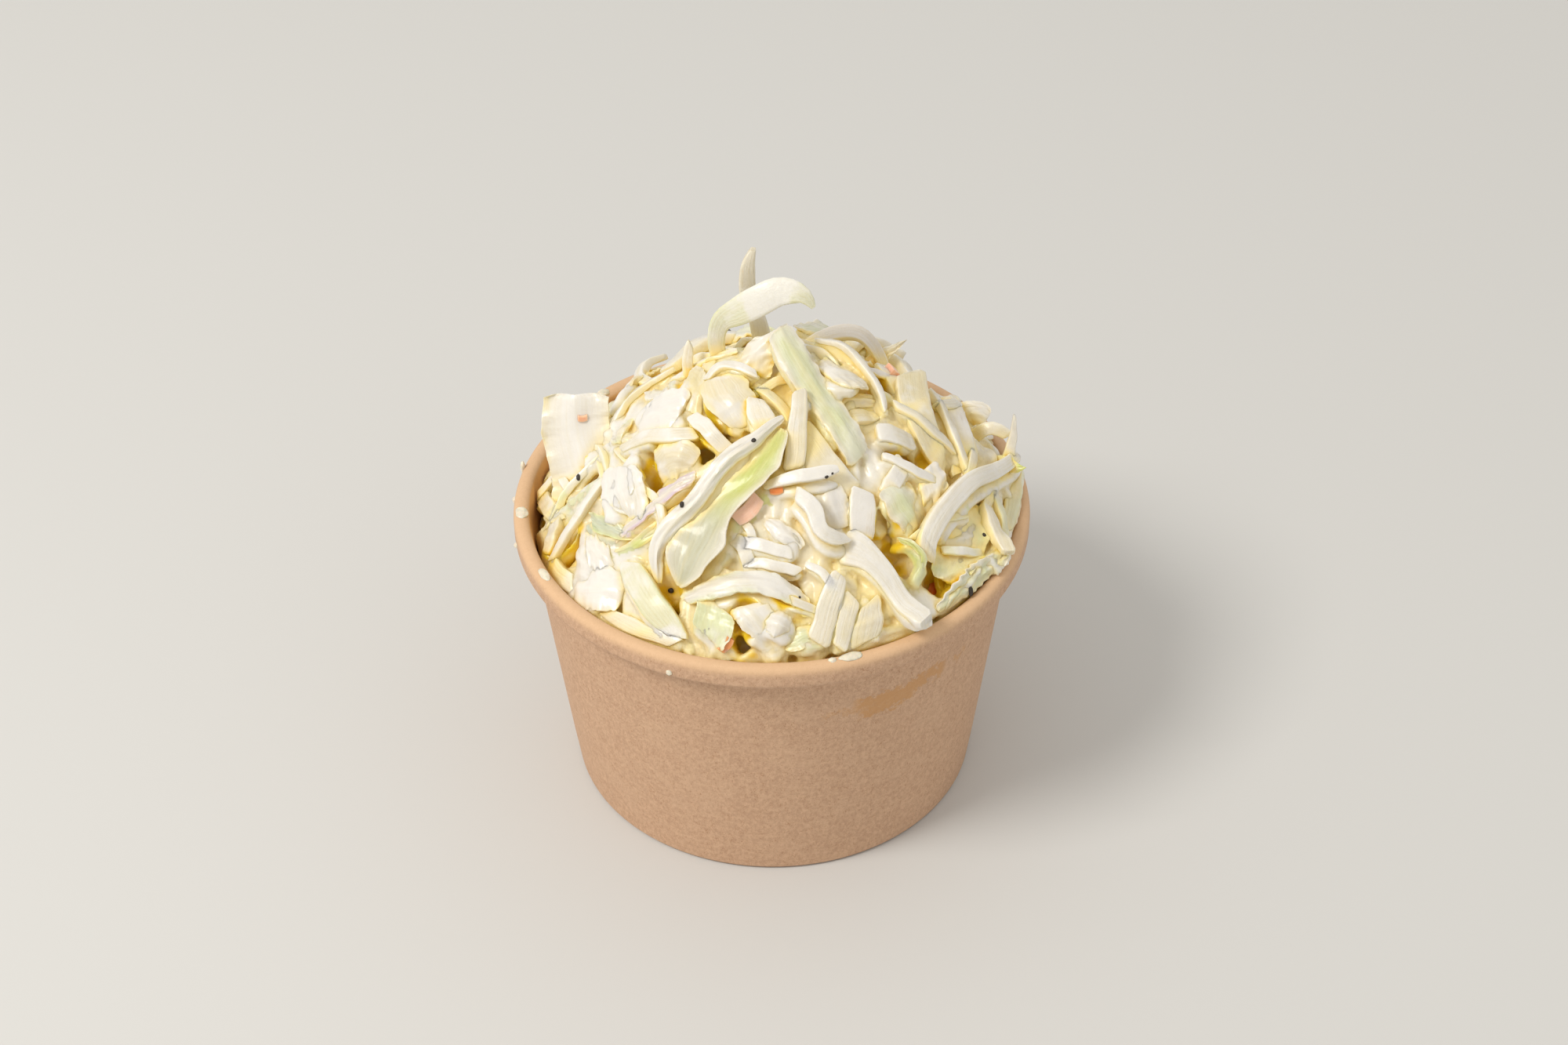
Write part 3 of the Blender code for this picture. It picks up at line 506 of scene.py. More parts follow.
def model_wall():
    """A ring of edges drawn through the profile, made into board, with the lap of the board raised at the back."""
    profile = wall_profile()
    deselect()
    radius, height = profile[0]
    bpy.ops.mesh.primitive_circle_add(vertices=TUB_STEPS, radius=radius, location=(0, 0, height))
    wall = named("tub_board")
    settle(wall)
    bpy.ops.object.mode_set(mode="EDIT")
    bpy.ops.mesh.select_all(action="SELECT")
    for (last_radius, last_height), (radius, height) in zip(profile, profile[1:]):
        move = {"value": (0, 0, height - last_height)}
        bpy.ops.mesh.extrude_edges_move(TRANSFORM_OT_translate=move)
        share = radius / last_radius
        bpy.ops.transform.resize(value=(share, share, 1), center_override=(0, 0, height))
    bpy.ops.mesh.select_all(action="SELECT")
    bpy.ops.mesh.normals_make_consistent(inside=False)
    bpy.ops.object.mode_set(mode="OBJECT")
    apply_modifier(wall, "SOLIDIFY", thickness=BOARD, offset=0, use_even_offset=True)

    def in_lap(middle, normal):
        bearing = math.degrees(math.atan2(middle.y, middle.x))
        return 84 < bearing < 96 and 1.5 * MM < middle.z < 54 * MM and normal.y > 0.7

    bpy.ops.object.mode_set(mode="EDIT")
    select_faces(wall, in_lap)
    bpy.ops.mesh.extrude_region_shrink_fatten(TRANSFORM_OT_shrink_fatten={"value": 0.3 * MM})
    bpy.ops.object.mode_set(mode="OBJECT")
    return wall


# ---------------------------------------------------------------- shreds


def cut_stick(name, steps, rounding):
    """A unit stick of cabbage with rounded long edges, cut into steps along its length."""
    deselect()
    bpy.ops.mesh.primitive_cube_add(size=1)
    stick = named(name)
    bpy.ops.object.mode_set(mode="EDIT")
    select_edges(stick, lambda a, b: abs(a.x - b.x) > 0.5)
    bpy.ops.mesh.bevel(offset=0.12, segments=rounding, affect="EDGES")
    select_edges(stick, lambda a, b: abs(a.x - b.x) > 0.5)
    bpy.ops.mesh.subdivide(number_cuts=steps - 1)
    bpy.ops.object.mode_set(mode="OBJECT")
    return stick


def cut_leaf(name, steps, rows):
    """A unit piece of leaf: a thin board with many rows across, for its curls and ripples."""
    deselect()
    bpy.ops.mesh.primitive_grid_add(x_subdivisions=steps, y_subdivisions=rows, size=1)
    leaf = named(name)
    apply_modifier(leaf, "SOLIDIFY", thickness=1, offset=0)
    return leaf


def take_template(piece):
    """The points of a unit piece from -1 to 1, with its length from 0 to 1, and its faces."""
    points = points_of(piece.data) * 2
    points[:, 0] = points[:, 0] / 2 + 0.5
    faces = [tuple(face.vertices) for face in piece.data.polygons]
    bpy.data.meshes.remove(piece.data)
    return points, faces


def route_of(shred):
    """The middle line of a shred, curved through its knots, and the way that its broad side faces at each point."""
    if "route" in shred:
        knots = [Vector(point) * MM for point in shred["route"]]
    else:
        knots = [Vector((x * MM, y * MM, mound_height(x * MM, y * MM) + rise * MM)) for x, y, rise in shred["path"]]
    knots = [2 * knots[0] - knots[1]] + knots + [2 * knots[-1] - knots[-2]]
    points = []
    for before, start, end, after in zip(knots, knots[1:], knots[2:], knots[3:]):
        for t in (0, 0.25, 0.5, 0.75):
            slope_in, slope_out = (end - before) / 2, (after - start) / 2
            point = start * (2 * t**3 - 3 * t**2 + 1) + end * (3 * t**2 - 2 * t**3)
            point += slope_in * (t**3 - 2 * t**2 + t) + slope_out * (t**3 - t**2)
            points.append(point)
    points.append(knots[-2])
    if "face" in shred:
        faces = [Vector(shred["face"]).normalized()] * len(points)
    else:
        faces = [mound_normal(point.x, point.y) for point in points]
    return np.array(points), np.array(faces)


def unit(rows):
    return rows / np.linalg.norm(rows, axis=1, keepdims=True)


def wander(t, chance, waves=3):
    """A smooth uneven line between about -1 and 1."""
    line = 0
    for i in range(waves):
        turns = chance.uniform(0.5, 1.2) * (i + 1) * t + chance.random()
        line = line + math.pow(0.7, i) * np.sin(2 * math.pi * turns)
    return line / 1.8


def read_off(t, share, rows):
    """Rows that are known at some shares of a length, read off at the shares t."""
    return np.stack([np.interp(t, share, rows[:, axis]) for axis in range(3)], axis=1)


class Heap:
    """The shreds of one kind, gathered into the arrays of one mesh."""

    def __init__(self):
        self.points, self.faces, self.tints, self.grains, self.count = [], [], [], [], 0

    def add(self, points, faces, tints, grains):
        self.points.append(points)
        self.tints.append(tints)
        self.grains.append(grains)
        self.faces.extend(tuple(corner + self.count for corner in face) for face in faces)
        self.count += len(points)

    def mesh(self, name):
        mesh = bpy.data.meshes.new(name)
        points = np.concatenate(self.points)
        mesh.from_pydata(points.tolist(), [], self.faces)
        thing = bpy.data.objects.new(name, mesh)
        SCENE.collection.objects.link(thing)
        return thing


def add_shred(heap, template, shred, chance):
    """Lays a copy of a unit piece along the shred's route, uneven in width, thickness and line."""
    unit_points, faces = template
    line, face = route_of(shred)
    gaps = np.linalg.norm(np.diff(line, axis=0), axis=1)
    length = gaps.sum()
    share = np.concatenate([[0], np.cumsum(gaps)]) / length
    along = unit(np.gradient(line, share, axis=0))
    side = unit(np.cross(face, along))
    up = np.cross(along, side)
    angle = np.radians(shred.get("lean", 0) + shred.get("twist", 0) * (share - 0.5))[:, None]
    side, up = side * np.cos(angle) + up * np.sin(angle), up * np.cos(angle) - side * np.sin(angle)
    wobble = shred.get("wobble", 0.2) * MM
    sway, rise = wander(share, chance), wander(share, chance)
    line = line + side * (wobble * sway)[:, None] + up * (0.5 * wobble * rise)[:, None]

    u, v, w = unit_points.T
    width, thick = shred["width"] * MM, shred["thick"] * MM
    slant = shred.get("slant", chance.uniform(-0.35, 0.35)) * min(width / length, 0.5)
    t = np.clip(abs(slant) + u * (1 - 2 * abs(slant)) + slant * v, 0, 1)
    leafy = shred["kind"] in ("leaf", "plate")
    shape = shred.get("shape", SHAPES[shred["kind"]])
    fine_shape = np.interp(np.linspace(-0.1, 1.1, 121), np.linspace(0, 1, len(shape)), shape)
    ends = np.interp(u, np.linspace(0, 1, 101), np.convolve(fine_shape, np.full(15, 1 / 15), "same")[10:-10])
    corner = np.clip(np.minimum(u, 1 - u) * length / min(0.22 * width, 0.8 * MM), 0, 1)
    ends = ends * (0.72 + 0.28 * np.sqrt(1 - (1 - corner) ** 2))
    rough = shred.get("ragged", 0.06)
    ragged = rough * wander(u, chance, 4) * (np.sign(v) if leafy else 1)
    ragged = ragged + 0.4 * rough * wander(4 * u, chance, 4) * leafy
    broad = ends * (1 + ragged)
    deep = (1 + 0.15 * wander(u, chance)) * (0.4 + 0.6 * np.minimum(ends, 1))
    centre = read_off(t, share, line)
    sideways, upward = unit(read_off(t, share, side)), unit(read_off(t, share, up))
    curl = shred.get("curl", 0) * MM * np.abs(v) ** 1.7 * ends
    ripple = shred.get("ripple", 0.4 if leafy else 0.1) * MM
    bends = length / (8 * MM)
    curl += ripple * wander(bends * u + 0.2 * v, chance, 4) * np.abs(v) ** 1.4
    curl += 0.4 * ripple * wander(0.7 * bends * u + 0.9 * v, chance, 4)
    waves, height = shred.get("folds", (0, 0))
    curl += height * MM * np.sin(math.pi * waves * v + 0.8 + 0.7 * u)
    crown = 1 + shred.get("crown", {"rib": 0.25, "board": 0.04}.get(shred["kind"], 0)) * (1 - v * v)
    if leafy:
        vein = 0.5 * np.exp(-((v * 4) ** 2))
        crown = (crown + vein) * (1 - 0.6 * np.abs(v) ** 3) * (1 - 0.5 * np.abs(2 * u - 1) ** 8)
    points = centre + sideways * (v * broad * width / 2)[:, None]
    points += upward * (w * deep * crown * thick / 2 + curl)[:, None]

    base = np.array(TINTS[shred["tint"]])
    if "tip" in shred:
        base = base + smooth_step(0.3, 0.65, u)[:, None] * (np.array(TINTS[shred["tip"]]) - base)
    edge = np.array(TINTS[shred["edge"]])
    share_edge = (np.clip(v, 0, 1) if "one_edge" in shred else np.abs(v))[:, None] ** 2.5
    tints = base * (1 - share_edge) + edge * share_edge
    tints = tints * (1 + 0.04 * chance.uniform(-1, 1))
    seed = np.full(len(u), chance.uniform(0, 60))
    grains = np.stack([u * length / MM, v * width / MM / 2, seed], axis=1)
    heap.add(keep_in_tub(points), faces, np.column_stack([tints, np.full(len(u), 1 - shred.get("bare", 0))]), grains)


def keep_in_tub(points):
    """Pushes whatever would pass through the board back inside it."""
    points = points.copy()
    reach = np.hypot(points[:, 0], points[:, 1])
    below = smooth_step(TUB_TOP + 0.6 * MM, TUB_TOP - 0.2 * MM, points[:, 2])
    inside = wall_radius(np.minimum(points[:, 2], TUB_TOP)) - BOARD / 2 - 0.25 * MM
    share = np.where(reach > inside, 1 + below * (inside / np.maximum(reach, 1e-6) - 1), 1)
    points[:, 0] *= share
    points[:, 1] *= share
    return points


def golden_spots(count, reach, start=0.0):
    """Spots spread evenly over a disc, in metres."""
    for i in range(count):
        radius = reach * MOUND_RADIUS * math.sqrt((i + 0.5) / count)
        bearing = GOLDEN * i + start
        yield radius * math.cos(bearing), radius * math.sin(bearing)


def clear_of(x, y, spots):
    """How far outside the nearest hollow a spot is, in metres."""
    return min(math.hypot(x - a * MM, y - b * MM) - r * MM for a, b, r in spots)


def fill_shreds(count, reach, lift, start, chance, sizes, clear=1.0):
    """Small shreds turned at random over the mound, kept off the hollows."""
    names = ["white", "white", "cream", "yellow", "white", "green", "lilac", "dressing", "pale"]
    short, long, narrow, wide = sizes
    for x, y in golden_spots(count, reach, start):
        if clear_of(x, y, HOLLOWS) < clear * MM:
            continue
        kind = chance.choice(["board", "board", "board", "board", "leaf", "plate"])
        half = chance.uniform(short, long) / 2 * (0.65 if kind == "plate" else 1)
        head = chance.uniform(0, 2 * math.pi)
        bow = chance.gauss(0, 0.22) * half
        along, across = (math.cos(head), math.sin(head)), (-math.sin(head), math.cos(head))
        path = []
        for step, shift in ((-1, 0), (0, bow), (1, 0)):
            spot = [middle / MM + half * step * a + shift * b for middle, a, b in zip((x, y), along, across)]
            reach_out = max(1, math.hypot(*spot) / 45)
            rise = lift + (chance.uniform(-1.4, 1.4) if step else chance.uniform(0.2, 1.2))
            path.append((spot[0] / reach_out, spot[1] / reach_out, rise))
        legs = [(a, b, t) for a, b in zip(path, path[1:]) for t in (0, 0.5, 1)]
        spots = [(a[0] + (b[0] - a[0]) * t, a[1] + (b[1] - a[1]) * t) for a, b, t in legs]
        if min(clear_of(a * MM, b * MM, HOLLOWS) for a, b in spots) < 0.5 * clear * MM:
            continue
        yield dict(
            kind=kind,
            tint=chance.choice(names),
            edge=chance.choice(["white", "cream", "white", "green"]),
            path=path,
            width=chance.uniform(narrow, wide) * (1.7 if kind == "plate" else 1),
            thick=chance.uniform(0.8, 1.2) if kind in ("leaf", "plate") else chance.uniform(1.3, 2.2),
            shape=[chance.uniform(least, 1) for least in (0.55, 0.85)]
            + [1]
            + [chance.uniform(least, 1) for least in (0.85, 0.4)],
            lean=chance.uniform(-30, 30),
            twist=chance.uniform(-30, 30),
            wobble=0.4,
        )


def model_body():
    """The lumpy body under the shreds."""
    deselect()
    bpy.ops.mesh.primitive_uv_sphere_add(segments=96, ring_count=64, radius=1)
    body = named("slaw_body")
    points = points_of(body.data)
    x, y, z = points.T
    high = mound_height(x * 45 * MM, y * 45 * MM) - 3.6 * MM
    lump = np.array([noise.noise(Vector(p) * 45 / 7) for p in points]) * 1.4 * MM
    body_points = np.where(
        (z >= 0)[:, None],
        np.stack([x * 45 * MM, y * 45 * MM, high + lump], axis=1),
        np.stack([x * 43 * MM, y * 43 * MM, np.full(len(x), 43 * MM)], axis=1),
    )
    set_points(body.data, body_points)
    return body


def fuse_shreds(filler, bold, chance, spare):
    """The shreds in the mass: layers that cross each other, and broad copies that bed the bold shreds."""
    heap = Heap()
    # Each layer's count, reach, height over the mound, first bearing, sizes, distance from hollows, and the most
    # that a shred in it is thick.
    layers = [
        (120, 0.98, -3.0, 0.4, (10, 24, 3, 6), 1.0, 2.6),
        (130, 0.98, -1.9, 1.7, (10, 24, 3, 6), 1.0, 2.6),
        (110, 0.96, -1.1, 2.9, (10, 24, 3, 6), 1.0, 2.6),
        (210, 0.97, -0.5, 1.1, (10, 26, 1.6, 3.6), 2.4, 2.4),
    ]
    for count, reach, lift, start, sizes, clear, most in layers:
        for shred in fill_shreds(count, reach, lift, start, chance, sizes, clear):
            add_shred(heap, filler, dict(shred, kind="rib", thick=chance.uniform(1.6, most)), chance)
    for shred in [*bold, *BEHIND]:
        if "path" in shred:
            draws = spare if shred in BEHIND else chance
            drop = 3.2 if "free" in shred else 1.25
            path = [(x, y, rise - drop) for x, y, rise in shred["path"]]
            bed = dict(shred, kind="rib", path=path, curl=0, one_edge=True)
            bed.update(width=shred["width"] * 1.05, thick=max(2.2, shred["thick"] + 0.6))
            add_shred(heap, filler, bed, draws)
    return heap


def take_ball(subdivisions):
    """The points and faces of a ball with a radius of 1."""
    deselect()
    bpy.ops.mesh.primitive_ico_sphere_add(subdivisions=subdivisions, radius=1)
    ball = named("ball")
    points, faces = points_of(ball.data), [tuple(face.vertices) for face in ball.data.polygons]
    bpy.data.objects.remove(ball)
    return points, faces


def fuse_blobs(chance):
    """The lumps of dressing in the mass."""
    ball, faces = take_ball(2)
    blobs = Heap()
    for x, y in golden_spots(140, 0.97, 0.9):
        if clear_of(x, y, HOLLOWS) < 1.5 * MM:
            continue
        size = np.array([chance.uniform(1.2, 4.5), chance.uniform(1.2, 4.5), chance.uniform(0.8, 2)]) * MM
        middle = np.array([x, y, mound_height(x, y) + chance.uniform(-2.6, -0.6) * MM])
        spot = keep_in_tub(ball * size + middle)
        blobs.add(spot, faces, np.ones((len(ball), 4)), np.zeros((len(ball), 3)))
    return blobs


def draw_to_foot(body):
    """Cuts the mass flat at its waist and draws it down to the tub's floor, narrowing with the wall."""
    up = (0, 0, 1)
    bpy.ops.object.mode_set(mode="EDIT")
    bpy.ops.mesh.select_all(action="SELECT")
    bpy.ops.mesh.bisect(plane_co=(0, 0, WAIST_HEIGHT), plane_no=up, use_fill=True, clear_inner=True)
    bpy.ops.mesh.extrude_region_move(TRANSFORM_OT_translate={"value": (0, 0, MASS_FOOT - WAIST_HEIGHT)})
    share = (wall_radius(6 * MM) - BOARD) / (wall_radius(WAIST_HEIGHT) - BOARD / 2)
    bpy.ops.transform.resize(value=(share, share, 1), center_override=(0, 0, MASS_FOOT))
    bpy.ops.object.mode_set(mode="OBJECT")
    triangles = sum(len(face.vertices) - 2 for face in body.data.polygons)
    apply_modifier(body, "DECIMATE", ratio=min(1, MASS_TRIANGLES / triangles))
    set_points(body.data, keep_in_tub(points_of(body.data)))


def model_mass(filler, bold, chance, spare):
    """The slaw that dressing has run together: a lumpy body, hundreds of shreds and blobs, fused into one skin."""
    body = model_body()
    heap = fuse_shreds(filler, bold, chance, spare)
    shreds = heap.mesh("fused_shreds")
    drops = fuse_blobs(chance).mesh("fused_blobs")
    activate(body)
    shreds.select_set(True)
    drops.select_set(True)
    bpy.ops.object.join()
    body.name = "slaw_mass"
    apply_modifier(body, "REMESH", mode="VOXEL", voxel_size=MASS_VOXEL)
    apply_modifier(body, "SMOOTH", factor=0.5, iterations=1)
    sink_hollows(body)
    draw_to_foot(body)

    tree = kdtree.KDTree(heap.count)
    for i, point in enumerate(np.concatenate(heap.points)):
        tree.insert(point, i)
    tree.balance()
    nearest = [tree.find(point)[1] for point in points_of(body.data)]
    set_values(body.data, "tint", "FLOAT_COLOR", np.concatenate(heap.tints)[nearest])
    set_values(body.data, "grain", "FLOAT_VECTOR", np.concatenate(heap.grains)[nearest])
    return body


def sink_hollows(body):
    """Presses a pit into the mass at each hollow."""
    points = points_of(body.data)
    for x, y, radius in HOLLOWS:
        away = np.hypot(points[:, 0] - x * MM, points[:, 1] - y * MM)
        share = smooth_step(1.5 * radius * MM, 0.6 * radius * MM, away) * (points[:, 2] > 50 * MM)
        points -= np.outer(share * HOLLOW_DEPTH, mound_normal(x * MM, y * MM))
    set_points(body.data, points)


def hollow_share(points):
    """How far inside a hollow each point is, from 0 to 1."""
    share = np.zeros(len(points))
    uneven = np.array([noise.noise(Vector(point) / (2.2 * MM)) for point in points]) * 2.4 * MM
    for x, y, radius in HOLLOWS:
        away = np.hypot(points[:, 0] - x * MM, points[:, 1] - y * MM) + uneven
        share = np.maximum(share, smooth_step(1.7 * radius * MM, 0.9 * radius * MM, away))
    return share


def dressed_share(points):
    """How thickly dressing lies on each point, from 0 to 1."""
    share = np.zeros(len(points))
    for x, y, radius in DRESSED:
        away = np.hypot(points[:, 0] - x * MM, points[:, 1] - y * MM)
        share = np.maximum(share, smooth_step(1.2 * radius * MM, 0.5 * radius * MM, away))
    return share


def finish_heap(heap, name):
    thing = heap.mesh(name)
    set_values(thing.data, "tint", "FLOAT_COLOR", np.concatenate(heap.tints))
    set_values(thing.data, "grain", "FLOAT_VECTOR", np.concatenate(heap.grains))
    return thing


def even_out(mesh, values):
    """Spreads values over the points next to each point, a few times."""
    ends = np.empty(len(mesh.edges) * 2, np.int32)
    mesh.edges.foreach_get("vertices", ends)
    first, second = ends.reshape(-1, 2).T
    near = np.bincount(ends, minlength=len(values))
    for _ in range(SPREADS):
        total = np.bincount(first, values[second], len(values)) + np.bincount(second, values[first], len(values))
        values = 0.5 * values + 0.5 * total / np.maximum(near, 1)
    return values


def shade_hollows(things, others):
    """Stores how closed in each point is, from 0 in the open to 1 deep down, by looking outwards from it.

    The cabbage finish paints shade from these values in the creases and in the pits of the hollows.
    """
    tree = surface_tree([*things, *others])
    looks = []
    for i in range(LOOKS):
        height = 1 - 0.85 * (i + 0.5) / LOOKS
        flat = math.sqrt(1 - height * height)
        looks.append(Vector((flat * math.cos(GOLDEN * i), flat * math.sin(GOLDEN * i), height)))
    for thing in things:
        values = np.zeros(len(thing.data.vertices))
        for i, vertex in enumerate(thing.data.vertices):
            turn = vertex.normal.to_track_quat("Z", "Y")
            origin = vertex.co + vertex.normal * LOOK_START
            closed = 0
            for look in looks:
                hit = tree.ray_cast(origin, turn @ look, LOOK_REACH)[3]
                if hit is not None:
                    closed += 1 - 0.5 * hit / LOOK_REACH
            values[i] = closed / LOOKS
        values = even_out(thing.data, values)
        # The deep value holds how closed in each point is, and the pit value that in the hollows; the cabbage finish
        # paints shade from both.
        set_values(thing.data, "deep", "FLOAT", values)
        closed_in = smooth_step(0.06, 0.2, values) if thing.name == "slaw_mass" else smooth_step(0.4, 0.65, values)
        set_values(thing.data, "pit", "FLOAT", closed_in * hollow_share(points_of(thing.data)))
        set_values(thing.data, "dressed", "FLOAT", dressed_share(points_of(thing.data)))


# ---------------------------------------------------------------- bits and drops


def surface_tree(things):
    """Everything that bits can rest on, as one tree of faces to look for."""
    vertices, faces = [], []
    for thing in things:
        start = len(vertices)
        vertices.extend(points_of(thing.data).tolist())
        faces.extend([start + corner for corner in face.vertices] for face in thing.data.polygons)
    return BVHTree.FromPolygons(vertices, faces)


def rest_on(tree, place):
    """Where a bit comes to rest on the slaw: as seen from the front at x, y, z, or dropped from above at x, y."""
    if len(place) == 2:
        eye, aim = Vector((place[0] * MM, place[1] * MM, 2 * TUB_TOP)), Vector((0, 0, -1))
    else:
        eye = camera_frame()[0]
        aim = (Vector(place) * MM - eye).normalized()
    point, normal = tree.ray_cast(eye, aim)[:2]
    if point is None:
        return rest_on(tree, place[:2])
    return point, normal if normal.dot(aim) < 0 else -normal


def turned(points, along, side, up):
    """Points of a small piece, turned from its own directions to the three given."""
    return np.outer(points[:, 0], along) + np.outer(points[:, 1], side) + np.outer(points[:, 2], up)


def scatter_bits(name, template, bits, tree, chance):
    """Lays each bit on the slaw, half sunk in its dressing, with its long side along its heading."""
    unit_points, faces = template
    unit_points = unit_points - [0.5, 0, 0]
    heap = Heap()
    for shown in bits:
        point, normal = rest_on(tree, shown["place"])
        head = math.radians(shown.get("head", chance.uniform(0, 360)))
        toward = Vector((math.cos(head), math.sin(head), 0))
        along = (toward - normal * toward.dot(normal)).normalized()
        length, width, thick = (part * MM for part in shown["size"])
        local = unit_points * [length, width / 2, thick / 2]
        tints = np.tile([*shown.get("tint", PEPPER), 1], (len(local), 1))
        grains = np.column_stack([local[:, 0] / MM, local[:, 1] / MM, np.full(len(local), chance.uniform(0, 60))])
        bent = local + np.outer(0.12 * length * (4 * unit_points[:, 0] ** 2), [0, 1, 0])
        heap.add(turned(bent, along, normal.cross(along), normal) + np.array(point), faces, tints, grains)
    return finish_heap(heap, name)


def model_carrots(tree, chance):
    return scatter_bits("carrot_shreds", take_template(cut_stick("carrot_stick", 6, 2)), CARROTS, tree, chance)


def model_peppers(tree, chance):
    """Cracked pepper: small lumps with flat, uneven sides."""
    deselect()
    bpy.ops.mesh.primitive_ico_sphere_add(subdivisions=2, radius=0.5)
    grain = named("pepper_grain")
    points = points_of(grain.data)
    points *= 1 + 0.28 * np.array([noise.noise(Vector(point) * 3.1) for point in points])[:, None]
    set_points(grain.data, points)
    return scatter_bits("pepper_specks", take_template(grain), PEPPERS, tree, chance)


def model_drops():
    """Spots of dressing: soft flattened beads on the rim and on the side of it."""
    ball, faces = take_ball(3)
    heap = Heap()
    for bearing, height, size in RIM_DROPS:
        angle = math.radians(bearing)
        out = Vector((math.cos(angle), math.sin(angle), 0))
        on_top = height > 59.5
        normal = Vector((0, 0, 1)) if on_top else out
        middle = out * (RIM_RADIUS - 1.6 * MM if on_top else RIM_RADIUS) + Vector((0, 0, height * MM))
        side = Vector((-math.sin(angle), math.cos(angle), 0))
        lump = 1 + 0.25 * np.array([noise.noise(Vector(point) * 1.3 + middle * 900) for point in ball])[:, None]
        placed = turned(ball * lump * np.array(size) * MM, side, normal.cross(side), normal)
        tints = np.tile([*TINTS["white"], 1], (len(placed), 1))
        heap.add(placed + np.array(middle), faces, tints, np.zeros((len(placed), 3)))
    return finish_heap(heap, "dressing_drops")


# ---------------------------------------------------------------- materials


class Nodes:
    """A short way to write a node tree."""

    def __init__(self, tree):
        self.tree = tree

    def add(self, kind, **settings):
        node = self.tree.nodes.new(kind)
        for key, value in settings.items():
            setattr(node, key, value)
        return node

    def join(self, output, socket):
        self.tree.links.new(output, socket)

    def put(self, value, socket):
        """Sets a socket to a number or colour, or links it to another node's output."""
        if isinstance(value, bpy.types.NodeSocket):
            self.join(value, socket)
        elif isinstance(value, tuple) and len(value) == 3 and socket.type == "RGBA":
            socket.default_value = (*value, 1)
        else:
            socket.default_value = value

    def maths(self, operation, a, b=0.0):
        node = self.add("ShaderNodeMath", operation=operation)
        self.put(a, node.inputs[0])
        self.put(b, node.inputs[1])
        return node.outputs[0]

    def times(self, a, b):
        return self.maths("MULTIPLY", a, b)

    def span(self, value, low, high, to_low=0.0, to_high=1.0):
        node = self.add("ShaderNodeMapRange", interpolation_type="SMOOTHSTEP")
        for part, socket in zip((value, low, high, to_low, to_high), node.inputs):
            self.put(part, socket)
        return node.outputs[0]

    def mix(self, factor, a, b, blend="MIX"):
        node = self.add("ShaderNodeMix", data_type="RGBA", blend_type=blend)
        self.put(factor, node.inputs["Factor"])
        self.put(a, node.inputs[6])
        self.put(b, node.inputs[7])
        return node.outputs[2]

    def noise(self, vector, scale, detail=2.0, roughness=0.5, distortion=0.0):
        node = self.add("ShaderNodeTexNoise")
        self.put(vector, node.inputs["Vector"])
        values = {"Scale": scale, "Detail": detail, "Roughness": roughness, "Distortion": distortion}
        for key, value in values.items():
            node.inputs[key].default_value = value
        return node.outputs["Fac"]

    def scaled(self, vector, amounts):
        node = self.add("ShaderNodeVectorMath", operation="MULTIPLY")
        self.put(vector, node.inputs[0])
        node.inputs[1].default_value = amounts
        return node.outputs[0]

    def attribute(self, name, output):
        return self.add("ShaderNodeAttribute", attribute_name=name).outputs[output]

    def place(self):
        """Where a point is on the object, in millimetres."""
        coordinates = self.add("ShaderNodeTexCoord").outputs["Object"]
        return self.scaled(coordinates, (1000, 1000, 1000))

    def bump(self, height, distance, strength=1.0):
        node = self.add("ShaderNodeBump")
        node.inputs["Strength"].default_value = strength
        node.inputs["Distance"].default_value = distance
        self.put(height, node.inputs["Height"])
        return node.outputs["Normal"]


def new_group(name, inputs, outputs):
    tree = bpy.data.node_groups.new(name, "ShaderNodeTree")
    kinds = {"colour": "NodeSocketColor", "value": "NodeSocketFloat", "vector": "NodeSocketVector"}
    for socket, kind in inputs.items():
        tree.interface.new_socket(socket, in_out="INPUT", socket_type=kinds[kind])
    for socket, kind in outputs.items():
        tree.interface.new_socket(socket, in_out="OUTPUT", socket_type=kinds[kind])
    nodes = Nodes(tree)
    return tree, nodes, nodes.add("NodeGroupInput"), nodes.add("NodeGroupOutput")


def new_material(name):
    material = bpy.data.materials.new(name)
    material.use_nodes = True
    nodes = Nodes(material.node_tree)
    return material, nodes, material.node_tree.nodes["Principled BSDF"]


